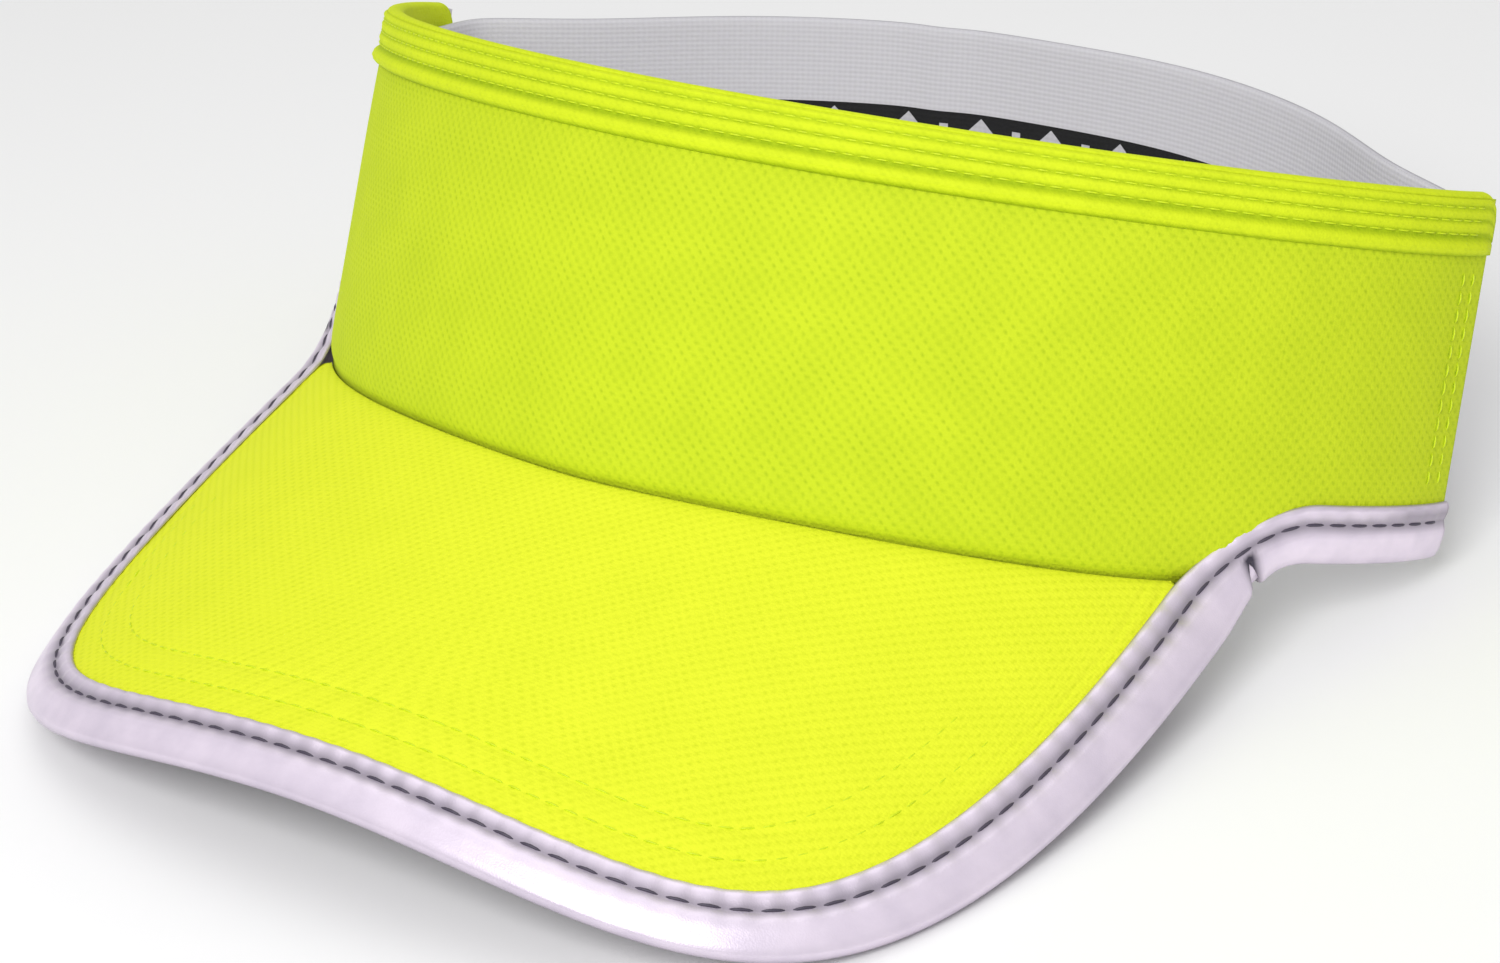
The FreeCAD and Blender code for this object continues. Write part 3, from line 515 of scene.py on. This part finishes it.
def stitches(name, line, normals, material, pitch, length, radius):
    """Beads along a line: each is a bent six-sided capsule of five rings that starts and
    ends under the cloth."""
    steps = running_length(line)
    count = int((steps[-1] - length) / pitch)
    ring_places = np.linspace(-0.5, 0.5, 5)
    ring_sizes = np.array([0.35, 0.9, 1.0, 0.9, 0.35]) * radius
    ring_lifts = np.array([-1.1, 0.15, 0.45, 0.15, -1.1]) * radius
    centres = (np.arange(count) + 0.5) * pitch + (steps[-1] - count * pitch) / 2
    places = centres[:, None] + ring_places * length
    spots = np.stack([np.interp(places, steps, line[:, k]) for k in range(3)], axis=-1)
    ups = unit(np.stack([np.interp(places, steps, normals[:, k]) for k in range(3)], axis=-1))
    runs = unit(np.gradient(spots, axis=1))
    sides = unit(np.cross(runs, ups))
    turns = np.linspace(0, 2 * np.pi, 7)[:-1]
    circle = (np.cos(turns)[:, None] * sides[:, :, None, :] + np.sin(turns)[:, None]
              * ups[:, :, None, :]) * ring_sizes[None, :, None, None]
    points = spots[:, :, None, :] + ups[:, :, None, :] * ring_lifts[None, :, None, None] + circle
    faces = []
    for bead in range(count):
        first = bead * 30
        for ring in range(4):
            for corner in range(6):
                a = first + ring * 6 + corner
                b = first + ring * 6 + (corner + 1) % 6
                faces.append((a, b, b + 6, a + 6))
        faces.append(tuple(first + corner for corner in reversed(range(6))))
        faces.append(tuple(first + 24 + corner for corner in range(6)))
    piece = mesh_object(name, placed(points.reshape(-1, 3)), faces, material)
    outside_in(piece)
    return piece


def head_normals(angle, drop):
    """Unit normals of the head's surface, outward."""
    return head(angle, drop, 1.0) - head(angle, drop, 0.0)


yellow_thread = thread_material("hi_vis_thread", "D6EA14")
row_along = np.linspace(3.0, PANEL_LENGTH - 3.0, 500)
row_angle = angle_at(row_along)
for index, groove in enumerate(RIB_GROOVES):
    row = stitches("top_binding_stitch_%d" % (index + 1), head(row_angle, groove, 0.62),
                   head_normals(row_angle, groove), yellow_thread, pitch=2.6, length=2.3, radius=0.15)
    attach(row, BODY)
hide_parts("top_binding_stitch")

# ------------------------------------------------------------------ brim covers
# The springy board is covered above with the same dimpled knit and below with dark cloth.
# Rows of tone-on-tone stitching follow the outer edge.
BRIM_HALF = 92.0
BRIM_LENGTH = 70.0
CORNER_BACK = 34.0
SIDE_REACH = 110.0
FRONT_REACH = 63.0
BRIM_STACK = 3.5
BRIM_CELL = 0.46
# The brim's yellow and its dimple colour are set brighter than the panel's, though both are the same
# knit: painted light for the brim's upward face under the top light.
LIT_BRIM_YELLOW = "E8F02E"
BRIM_SHADE = "C9D816"


def edge_of_brim(place):
    """Half outline of the brim as one cubic curve, 0 at the corner and 1 at the tip, then
    mirrored: across, out, and the unit normal that points off the edge."""
    t = np.where(place <= 1, place, 2 - place)
    poles = np.array([[BRIM_HALF, -CORNER_BACK], [BRIM_HALF, SIDE_REACH - CORNER_BACK],
                      [FRONT_REACH, BRIM_LENGTH], [0.0, BRIM_LENGTH]])
    r = 1 - t
    weights = np.stack([r ** 3, 3 * r ** 2 * t, 3 * r * t ** 2, t ** 3], axis=-1)
    slopes = np.stack([-3 * r ** 2, 3 * r ** 2 - 6 * r * t, 6 * r * t - 3 * t ** 2, 3 * t ** 2], axis=-1)
    spot = weights @ poles
    run = unit(slopes @ poles)
    flip = np.where(place <= 1, 1.0, -1.0)
    return np.stack([spot[..., 0] * flip, spot[..., 1]], -1), np.stack(
        [run[..., 1] * flip, -run[..., 0]], -1)


def even_places(start, end, step, lift=0.0):
    """Places along the brim's outline that are evenly spaced in length."""
    fine = np.linspace(start, end, 2001)
    spot, _ = edge_of_brim(fine)
    points = brim(spot[:, 0], spot[:, 1], lift)
    lengths = running_length(points)
    count = int(lengths[-1] / step) + 1
    return np.interp(np.linspace(0, lengths[-1], count), lengths, fine)


brim_knit = knit_material("birdseye_knit_brim", LIT_BRIM_YELLOW, BRIM_SHADE)
COVER_HALF = 86
COVER_REACH = 92
COVER_END_ANGLE = 54.0
COVER_END_PLACE = 0.022
across_count = int(2 * COVER_HALF / BRIM_CELL)
out_count = int(COVER_REACH / BRIM_CELL)
seam_angle = np.linspace(COVER_END_ANGLE, -COVER_END_ANGLE, across_count)
seam_point = bare_head(seam_angle, seam_drop(seam_angle))
seam_plan = np.stack([seam_point[:, 0], (seam_point - BRIM_ORIGIN) @ BRIM_OUT], -1)
COVER_INSET = 3.6
place = np.linspace(COVER_END_PLACE, 2 - COVER_END_PLACE, across_count)
edge_spot, edge_normal = edge_of_brim(place)
cover_edge = edge_spot - COVER_INSET * edge_normal
away = np.linspace(0, 1, out_count)[:, None]


def brim_grid(fraction, lift):
    """Points between the seam and the taped edge at a fraction of the way out."""
    plan = seam_plan[None] * (1 - fraction[..., None]) + cover_edge[None] * fraction[..., None]
    return plan, brim(plan[..., 0], plan[..., 1], lift)


cover_away = np.broadcast_to(away, (out_count, across_count))
plan, _ = brim_grid(cover_away, 0.0)
brim_pits = dimples(plan[..., 0], plan[..., 1])
cover_depth = np.linalg.norm(cover_edge - seam_plan, axis=1)
seam_distance = away * cover_depth
seam_dip = -0.9 * np.exp(-seam_distance / 1.2)
edge_distance = (1 - away) * cover_depth
ROW_INSETS = (14.0, 19.0)
row_dip = -sum(0.16 * np.exp(-((edge_distance + COVER_INSET - inset) / 0.8) ** 2)
               for inset in ROW_INSETS)
lift = -DIMPLE_DEPTH * brim_pits + seam_dip + row_dip
_, cover_outer = brim_grid(cover_away, lift)
COVER_THICKNESS = 0.8
INNER_ROWS = 6
inner_away = np.broadcast_to(np.linspace(0, 1, INNER_ROWS)[:, None], (INNER_ROWS, across_count))
_, cover_inner = brim_grid(inner_away, -COVER_THICKNESS)
# The dimple mark darkens the brim's knit in its dimples: painted shade.
top_cover = shell("brim_top_knit", cover_outer, cover_inner, brim_knit, {"dimple": brim_pits}, plan)
outside_in(top_cover)
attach(top_cover, BODY)
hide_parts("brim_top_cover")


under_cloth, under_tree, under_shader = new_material("dark_twill")
under_place = add_node(under_tree, "ShaderNodeUVMap", uv_map="cloth")
TWILL_MM = 0.7
twill_map = add_node(under_tree, "ShaderNodeMapping", {"Vector": under_place.outputs[0],
                                                       "Rotation": (0, 0, math.radians(45))})
twill = add_node(under_tree, "ShaderNodeTexWave", {"Vector": twill_map.outputs[0],
                                                   "Scale": wave_scale(TWILL_MM),
                                                   "Distortion": 0.6, "Detail": 1.0})
twill_colour = between(under_tree, twill.outputs["Fac"], linear("1B1B1E"), linear("2E2E33"))
dress(under_tree, under_shader, twill_colour, 0.85, twill.outputs["Fac"], 0.4, 0.0002)
under_rows = 40
under_away = np.broadcast_to(np.linspace(0, 1, under_rows)[:, None], (under_rows, across_count))
under_plan, under_top = brim_grid(under_away, -BRIM_STACK + 0.7)
_, under_low = brim_grid(under_away, -BRIM_STACK)
under_cover = shell("brim_under_cloth", under_low, under_top, under_cloth, uv=under_plan)
outside_in(under_cover)
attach(under_cover, BODY)
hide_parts("brim_under_cover")

for index, inset in enumerate(ROW_INSETS):
    places = even_places(0.16, 1.84, 0.8)
    spot, normal = edge_of_brim(places)
    track = spot - inset * normal
    line = brim(track[:, 0], track[:, 1], -0.12)
    ups = brim(track[:, 0], track[:, 1], 1.0) - brim(track[:, 0], track[:, 1], 0.0)
    row = stitches("brim_topstitch_%d" % (index + 1), line, ups, yellow_thread,
                   pitch=3.0, length=2.6, radius=0.14)
    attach(row, BODY)
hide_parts("brim_topstitch")

# ------------------------------------------------------------------ reflective tape
# Silver glass-bead tape on a grey cloth back, folded over the brim's edge and on over the
# panel's lower side edges. It creases in a small pleat where it turns at the corner.
TAPE_COVER = 9.2
TAPE_SKIN = 0.6
TAPE_GAP = 0.1
TURN_LENGTH = 7.0
SIDE_ANGLE = 68.0
STITCH_INSET = 3.0
STITCH_PITCH = 4.3


def tape_ring(half_stack, inner_flap=1.0):
    """Cross-section of the folded tape: inset from the fold, lift from the middle ply. The
    outer flap swells between its edge, its stitch row and its fold."""
    half = half_stack + TAPE_GAP
    row = TAPE_COVER - STITCH_INSET
    fold = 1.15 + 0.15 * half
    outer = np.array([(TAPE_COVER, half + 0.15), (TAPE_COVER - 0.25, half + TAPE_SKIN),
                      (TAPE_COVER - 0.9, half + TAPE_SKIN + 0.10), (row + 1.3, half + TAPE_SKIN),
                      (row + 0.5, half + TAPE_SKIN - 0.22), (row, half + TAPE_SKIN - 0.30),
                      (row - 0.5, half + TAPE_SKIN - 0.18), (row - 1.4, half + TAPE_SKIN + 0.10),
                      (row - 2.2, half + TAPE_SKIN + 0.12), (2.9, 0.5 * (half + TAPE_SKIN + fold) + 0.2),
                      (1.5, fold + 0.15), (0.45, 0.78 * fold),
                      (0.0, 0.3 * fold), (0.0, -0.3 * fold),
                      (0.45, -0.78 * fold), (1.5, -fold - 0.1)])
    reach = TAPE_COVER * inner_flap
    inner = np.array([(min(3.4, 0.5 * reach), -half - TAPE_SKIN), (0.5 * reach + 1, -half - TAPE_SKIN),
                      (reach, -half - TAPE_SKIN), (reach, -half)])
    hollow = np.array([(min(3.3, 0.9 * reach), -half), (1.4, -fold + 0.5), (1.4, fold - 0.5),
                       (3.3, half), (TAPE_COVER, half)])
    return np.concatenate([outer, inner, hollow])


def tape_on_brim(places, ring):
    """The tape's section set square to the brim's outline at each place."""
    spot, normal = edge_of_brim(places)
    plan = spot[:, None, :] - ring[None, :, :1] * normal[:, None, :]
    return brim(plan[..., 0], plan[..., 1], -BRIM_STACK / 2 + ring[None, :, 1])


def tape_on_side(angles, ring):
    """The tape's section on the panel's lower side edge at each angle."""
    return head(angles[:, None], SIDE_HEIGHT - ring[None, :, 0], -PANEL_STACK / 2 + ring[None, :, 1])


def share_at(out):
    """Place on the brim's outline that lies a given distance out."""
    fine = np.linspace(0, 0.3, 3001)
    spot, _ = edge_of_brim(fine)
    return float(np.interp(out, spot[:, 1], fine))


turn_place = share_at(TURN_LENGTH - CORNER_BACK)
corner_share = np.linspace(0, 1, 40)[1:-1]
corner_rings = []
for s in corner_share:
    flap = 1 - 0.7 * math.sin(math.pi * s) ** 0.5
    side_ring = tape_ring(PANEL_STACK / 2, flap)
    brim_ring = tape_ring(BRIM_STACK / 2, flap)
    side = tape_on_side(np.array([SIDE_ANGLE, SIDE_ANGLE - 1]), side_ring)
    front = tape_on_brim(np.array([turn_place, turn_place - 0.004]), brim_ring)
    gap = np.linalg.norm(front[0, 3] - side[0, 3])
    leave = unit(side[1] - side[0]) * gap
    arrive = unit(front[0] - front[1]) * gap
    r = 1 - s
    corner_rings.append(side[0] * (r ** 2 * (1 + 2 * s)) + leave * (r ** 2 * s)
                        + front[0] * (s ** 2 * (3 - 2 * s)) - arrive * (s ** 2 * r))
corner_rings = np.array(corner_rings)
side_end = ROUND_TABLE[-1] - np.interp(SIDE_ANGLE, ANGLE_TABLE, ROUND_TABLE)
side_angles = angle_at(ROUND_TABLE[-1] - np.linspace(0, side_end, int(side_end / 0.7)))
side_rings = tape_on_side(side_angles, tape_ring(PANEL_STACK / 2))
half_places = even_places(turn_place, 1.0, 0.7)
brim_rings = tape_on_brim(half_places, tape_ring(BRIM_STACK / 2))
right_half = np.concatenate([side_rings, corner_rings, brim_rings])
left_half = right_half[:-1][::-1] * np.array([-1.0, 1.0, 1.0])
tape_rings = np.concatenate([right_half, left_half])
STITCH_COLUMN = 5
row_line = tape_rings[:, STITCH_COLUMN]
row_steps = running_length(row_line)
tape_uv_across = running_length(tape_ring(BRIM_STACK / 2))

# Each stitch pulls the tape in, so it puckers between the needle holes, and the fold
# pinches into a pleat where the tape turns the corner.
face_normals = unit(np.cross(np.gradient(tape_rings, axis=0), np.gradient(tape_rings, axis=1)))
pull = np.zeros(tape_rings.shape[1])
pull[1:9] = [0.07, 0.13, 0.15, 0.12, 0.06, 0.09, 0.06, 0.03]
pucker = np.cos(2 * np.pi * row_steps / STITCH_PITCH)
wrinkle = 0.5 * np.sin(row_steps / 2.3) * np.sin(row_steps / 7.9 + 0.6)
tape_rings = tape_rings + face_normals * (pull * (pucker + wrinkle)[:, None])[..., None]
pleat_at = row_steps[len(side_rings) + int(0.50 * len(corner_rings))]
for middle in (pleat_at, row_steps[-1] - pleat_at):
    near = np.exp(-((row_steps - middle) / 0.95) ** 2)
    pinch = np.zeros(tape_rings.shape[1])
    pinch[7:19] = [0.1, 0.35, 0.7, 1.0, 1.0, 1.0, 1.0, 1.0, 0.9, 0.6, 0.3, 0.1]
    target = tape_rings[:, 6:7]
    tape_rings += (target - tape_rings) * (0.75 * near[:, None] * pinch)[..., None]

# Painted shade on the tape, one value per point: darker at its outer edge and in the stitch-row groove,
# over the fold and the underside that turn away from the light, on the band beside the row near the side
# ends, and darkest in the pleat at each corner.
tape_shade = np.zeros(tape_rings.shape[:2])
tape_shade[:, 0:9] = [0.9, 0.25, 0.05, 0.35, 0.85, 1.0, 0.75, 0.15, 0.0]
side_end_shade = ease(np.minimum(row_steps, row_steps[-1] - row_steps), 22.0, 8.0)
tape_shade[:, 2:4] += 0.6 * side_end_shade[:, None]
tape_shade[:, 9:22] = [0.0, 0.05, 0.2, 0.45, 0.7, 0.8, 0.8, 0.8, 0.8, 0.8, 0.8, 0.8, 0.8]
for middle in (pleat_at, row_steps[-1] - pleat_at):
    near = np.exp(-((row_steps - middle) / 1.5) ** 2)
    tape_shade[:, 7:22] = np.maximum(tape_shade[:, 7:22], 1.9 * near[:, None])

tape_cloth, tape_tree, tape_shader = new_material("glass_bead_tape")
tape_place = add_node(tape_tree, "ShaderNodeUVMap", uv_map="cloth")
BEAD_MM = 0.25
beads = add_node(tape_tree, "ShaderNodeTexVoronoi", {"Vector": tape_place.outputs[0],
                                                     "Scale": 1000 / BEAD_MM})
smudge = add_node(tape_tree, "ShaderNodeTexNoise", {"Vector": tape_place.outputs[0],
                                                    "Scale": 140.0, "Detail": 4.0})
smudge_share = add_node(tape_tree, "ShaderNodeMapRange", {"Value": smudge.outputs[0],
                                                          "From Min": 0.35, "From Max": 0.75})
tape_colour = between(tape_tree, smudge_share.outputs[0], linear("F6E9FA"), linear("E4D8EA"))
# The painted shade mark darkens the bead colour towards a dark grey.
tape_shade_mark = add_node(tape_tree, "ShaderNodeAttribute", attribute_name="tape_shade")
tape_shade_share = add_node(tape_tree, "ShaderNodeMath", {0: tape_shade_mark.outputs["Fac"], 1: 0.62},
                        operation="MULTIPLY", use_clamp=True)
shaded_tape_colour = between(tape_tree, tape_shade_share.outputs[0], tape_colour, linear("46414F"))
dress(tape_tree, tape_shader, shaded_tape_colour, 0.36, beads.outputs["Distance"], 0.25, 0.00006)
tape_shader.inputs["Metallic"].default_value = 0.45
tape_uv = np.stack(np.broadcast_arrays(row_steps[:, None], tape_uv_across), axis=-1)
tape = ring_solid("reflective_tape", tape_rings, tape_cloth, tape_uv, tape_shade, "tape_shade")
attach(tape, BODY)
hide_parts("reflective_binding")

grey_thread = thread_material("grey_thread", "4A4353")
tape_row = stitches("tape_stitch", tape_rings[:, STITCH_COLUMN], face_normals[:, STITCH_COLUMN],
                    grey_thread, pitch=STITCH_PITCH, length=4.15, radius=0.25)
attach(tape_row, BODY)
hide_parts("binding_stitch")

# ------------------------------------------------------------------ elastic back band
# A wide woven elastic: light grey with fine lengthwise ribs, and a dark woven stripe with
# a plain motif along its inner face. Both ends are sewn inside the panel's ends.
ELASTIC_WIDTH = 48.0
ELASTIC_THICKNESS = 1.5
ELASTIC_DROP = 2.5
ELASTIC_RISE = math.radians(11.9)
INSIDE_PLIES = 3.3
END_TUCK = 1.7
END_AIR = 0.3
ELASTIC_SIDE = HEAD_HALF_WIDTH - INSIDE_PLIES - END_TUCK - END_AIR - ELASTIC_THICKNESS / 2
STRIPE = (15.5, 29.0)
BACK_LIFT = 1.3


def spline(poles, count):
    """Clamped uniform cubic curve through its control polygon, by the basis recursion."""
    amount = len(poles)
    knots = np.concatenate([[0.0] * 3, np.linspace(0, 1, amount - 2), [1.0] * 3])
    t = np.linspace(0, 1 - 1e-9, count)
    basis = [((t >= a) & (t < b)).astype(float) for a, b in zip(knots[:-1], knots[1:])]
    for degree in range(1, 4):
        following = []
        for i in range(len(basis) - 1):
            left, right = knots[i + degree] - knots[i], knots[i + degree + 1] - knots[i + 1]
            part = (t - knots[i]) / left * basis[i] if left > 0 else 0.0
            other = (knots[i + degree + 1] - t) / right * basis[i + 1] if right > 0 else 0.0
            following.append(part + other)
        basis = following
    return np.stack(basis, axis=1) @ np.array(poles)


half_poles = [(ELASTIC_SIDE, -9.0), (ELASTIC_SIDE, -1.0), (ELASTIC_SIDE, 3.0), (79.0, 13.7),
              (60.4, 34.0), (29.0, 49.0)]
poles = half_poles + [(0.0, 49.0)] + [(-x, y) for x, y in reversed(half_poles)]
route = spline(poles, 420)
route_run = unit(np.gradient(route, axis=0))
route_side = np.stack([route_run[:, 1], -route_run[:, 0]], -1)
route_steps = running_length(route)
heights = np.linspace(0, ELASTIC_WIDTH, 60)
rib = 0.03 * np.cos(2 * np.pi * heights / 1.6)
rim = 0.25 * (np.exp(-heights / 0.8) + np.exp(-(ELASTIC_WIDTH - heights) / 0.8))
half_thick = ELASTIC_THICKNESS / 2 - rim + rib
ring_out = np.concatenate([half_thick, -half_thick[::-1]])
ring_down = np.concatenate([heights, heights[::-1]])
slack = 0.5 * np.sin(route_steps / 15.0)[:, None] * np.sin(ring_down / ELASTIC_WIDTH * np.pi)
soft_bend = 0.9 * np.exp(-((route_steps - 0.60 * route_steps[-1]) / 5.0) ** 2)[:, None]
bow = (slack - soft_bend) * ease(np.minimum(route_steps, route_steps[-1] - route_steps), 12, 30)[:, None]
flat_out = ring_out + bow
middle_share = np.sin(np.pi * route_steps / route_steps[-1])[:, None] ** 2
elastic_points = np.stack([route[:, :1] + route_side[:, :1] * flat_out,
                           route[:, 1:] + route_side[:, 1:] * flat_out,
                           BACK_LIFT * middle_share - ring_down], axis=-1)
rise = np.array([[1, 0, 0], [0, math.cos(ELASTIC_RISE), -math.sin(ELASTIC_RISE)],
                 [0, math.sin(ELASTIC_RISE), math.cos(ELASTIC_RISE)]])
elastic_points = elastic_points @ rise.T + np.array([0.0, 0.0, -ELASTIC_DROP])

elastic_cloth, elastic_tree, elastic_shader = new_material("woven_elastic")
elastic_place = add_node(elastic_tree, "ShaderNodeUVMap", uv_map="cloth")
axes = add_node(elastic_tree, "ShaderNodeSeparateXYZ", {0: elastic_place.outputs[0]})
MOTIF_LENGTH = 0.0145
MOTIF_HALF = 0.0060
BAR_FROM = 0.0064
BAR_HALF = 0.0045


def sums(kind, first, second, clamp=False):
    """Output of a Math node that works on two values."""
    return add_node(elastic_tree, "ShaderNodeMath", {0: first, 1: second}, operation=kind,
                    use_clamp=clamp).outputs[0]


stripe_middle = sum(STRIPE) / 2000
stripe_half = (STRIPE[1] - STRIPE[0]) / 2000
from_middle = sums("ABSOLUTE", sums("SUBTRACT", axes.outputs["Y"], stripe_middle), 0.0)
in_stripe = sums("LESS_THAN", from_middle, stripe_half)
cell = sums("MULTIPLY", axes.outputs["X"], 1 / MOTIF_LENGTH)
cell_place = sums("ABSOLUTE", sums("SUBTRACT", sums("FRACT", cell, 0.0), 0.5), 0.0)
along_cell = sums("MULTIPLY", cell_place, MOTIF_LENGTH)
diamond = sums("LESS_THAN", sums("ADD", along_cell, from_middle), MOTIF_HALF)
hollow_diamond = sums("SUBTRACT", diamond, sums("LESS_THAN", sums("ADD", along_cell, from_middle),
                                                0.5 * MOTIF_HALF))
bars = sums("MULTIPLY", sums("GREATER_THAN", along_cell, BAR_FROM),
            sums("LESS_THAN", from_middle, BAR_HALF))
motif = sums("ADD", hollow_diamond, bars, clamp=True)
dark = sums("SUBTRACT", in_stripe, sums("MULTIPLY", motif, 0.85), clamp=True)
RIB_MM = 0.9
PICK_MM = 1.0
ribs = add_node(elastic_tree, "ShaderNodeTexWave", {"Vector": elastic_place.outputs[0],
                                                    "Scale": wave_scale(RIB_MM),
                                                    "Distortion": 0.2}, bands_direction="Y")
picks = add_node(elastic_tree, "ShaderNodeTexWave", {"Vector": elastic_place.outputs[0],
                                                     "Scale": wave_scale(PICK_MM),
                                                     "Distortion": 1.0}, bands_direction="X")
woven = sums("ADD", sums("MULTIPLY", ribs.outputs["Fac"], 0.6),
             sums("MULTIPLY", picks.outputs["Fac"], 0.4))
ground = between(elastic_tree, woven, linear("CECCD2"), linear("D6D4DA"))
elastic_colour = between(elastic_tree, dark, ground, linear("0E0E11"))
dress(elastic_tree, elastic_shader, elastic_colour, 0.8, woven, 0.35, 0.0002)
INSIDE_SHIFT = 1000.0
uv_down = np.concatenate([heights + INSIDE_SHIFT, heights[::-1]])
elastic_uv = np.stack(np.broadcast_arrays(route_steps[:, None], uv_down), axis=-1)
elastic = ring_solid("elastic_band_woven", elastic_points, elastic_cloth, elastic_uv)
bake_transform(elastic)
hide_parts("elastic_band")

for side, label in ((-1, "left"), (1, "right")):
    for index, inset in enumerate((3.5, 6.5)):
        drops = np.linspace(10.5, SIDE_HEIGHT - TAPE_COVER - 1, 60)
        place_along = inset if side < 0 else PANEL_LENGTH - inset
        angle = np.full_like(drops, float(angle_at(place_along)))
        row = stitches("elastic_stitch_%s_%d" % (label, index + 1), head(angle, drops, 0.0),
                       head_normals(angle, drops), yellow_thread, pitch=2.8, length=2.3, radius=0.16)
        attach(row, BODY)
    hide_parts("elastic_stitch_" + label)

# ------------------------------------------------------------------ lining and sweatband
# Inside the panel: a smooth white lining over the fused stiffener, a soft terry sweatband
# sewn along the lower edge, and a blank woven label.
lining_cloth, lining_tree, lining_shader = new_material("plain_woven_lining")
lining_place = add_node(lining_tree, "ShaderNodeTexCoord")
lining_weave = add_node(lining_tree, "ShaderNodeTexNoise", {"Vector": lining_place.outputs["Object"],
                                                            "Scale": 1400.0, "Detail": 2.0})
lining_colour = between(lining_tree, lining_weave.outputs[0], linear("D2D0D6"), linear("EFEEF2"))
dress(lining_tree, lining_shader, lining_colour, 0.85, lining_weave.outputs[0], 0.3, 0.0002)


def plain_cloth(name, light, dark, yarn_mm):
    """Plain cloth for the hidden plies: two close colours in yarn-sized spots, each yarn lighter in its
    middle and darker at its edge as painted shade.
    """
    material, tree, shader = new_material(name)
    here = add_node(tree, "ShaderNodeTexCoord")
    yarns = add_node(tree, "ShaderNodeTexVoronoi", {"Vector": here.outputs["Object"],
                                                    "Scale": 1000 / yarn_mm})
    colour = between(tree, yarns.outputs["Distance"], linear(light), linear(dark))
    dress(tree, shader, colour, 0.85, yarns.outputs["Distance"], 0.3, 0.0002, invert=True)
    return material


board_plastic, _, board_shader = new_material("brim_board_plastic")
board_shader.inputs["Base Color"].default_value = linear("E8E6DF")
board_shader.inputs["Roughness"].default_value = 0.45
for node_name, cloth in (("panel_lining", lining_cloth),
                         ("panel_stiffener", plain_cloth("buckram", "E9E6DC", "B9B5A8", 0.9)),
                         ("care_label", plain_cloth("satin_label", "FAFAFA", "E2E2E4", 0.35)),
                         ("brim_board", board_plastic)):
    shown = frame["nodes"][node_name]
    shown.data.materials.clear()
    shown.data.materials.append(cloth)

BAND_TOP = 27.0
BAND_WIDTH = 29.7
BAND_FACE = 3.1
BAND_THICK = 1.8
terry, terry_tree, terry_shader = new_material("terry_loops")
terry_place = add_node(terry_tree, "ShaderNodeUVMap", uv_map="cloth")
LOOP_MM = 0.8
terry_loops = add_node(terry_tree, "ShaderNodeTexVoronoi", {"Vector": terry_place.outputs[0],
                                                            "Scale": 1000 / LOOP_MM})
# Painted shade: each terry loop is lighter in its middle and darker towards its edges, where the loops
# meet.
terry_colour = between(terry_tree, terry_loops.outputs["Distance"], linear("F1F0F3"), linear("B9B7BE"))
dress(terry_tree, terry_shader, terry_colour, 0.95, terry_loops.outputs["Distance"], 0.8, 0.0005,
      invert=True)
terry_shader.inputs["Sheen Weight"].default_value = 0.3
BAND_END_ANGLE = 76
LOOP_ROW_MM = 1.9
SEAM_SHARE = 0.9
EDGE_DEPTH = 0.45
band_start = float(np.interp(-BAND_END_ANGLE, ANGLE_TABLE, ROUND_TABLE))
band_along = np.linspace(band_start, PANEL_LENGTH - band_start, 330)
band_angle = angle_at(band_along)
band_rows = np.linspace(0, 1, 52)[:, None]
band_crown = np.sin(np.pi * band_rows) ** 0.4
seam_tuck = 1 - 0.65 * np.exp(-((band_rows - SEAM_SHARE) / 0.025) ** 2)
loops_up = 0.14 * (np.sin(band_along * 2 * np.pi / LOOP_ROW_MM)
                   * np.sin(band_rows * BAND_WIDTH * 2 * np.pi / LOOP_ROW_MM))
end_taper = ease(np.minimum(band_along - band_along[0], band_along[-1] - band_along), 0, 2.5)
crown_depth = (BAND_THICK - EDGE_DEPTH) * band_crown * seam_tuck * (0.35 + 0.65 * end_taper)
band_depth = EDGE_DEPTH + crown_depth + loops_up * band_crown
band_drop = BAND_TOP + BAND_WIDTH * band_rows + 0 * band_along
band_inner = head(band_angle, band_drop, -BAND_FACE - band_depth)
band_back = head(band_angle, BAND_TOP + BAND_WIDTH * np.linspace(0, 1, 5)[:, None], -BAND_FACE)
band_uv = np.stack(np.broadcast_arrays(band_along, band_drop), -1)
sweatband = shell("sweatband_terry", band_inner, band_back, terry, uv=band_uv)
outside_in(sweatband)
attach(sweatband, BODY)
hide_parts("sweatband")
sewn_angle = band_angle[4:-4]
sewn_drop = BAND_TOP + SEAM_SHARE * BAND_WIDTH
sweat_row = stitches("sweatband_stitch_row", head(sewn_angle, sewn_drop, -BAND_FACE - 1.0),
                     -head_normals(sewn_angle, sewn_drop), yellow_thread,
                     pitch=3.0, length=2.5, radius=0.2)
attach(sweat_row, BODY)
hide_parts("sweatband_stitch")
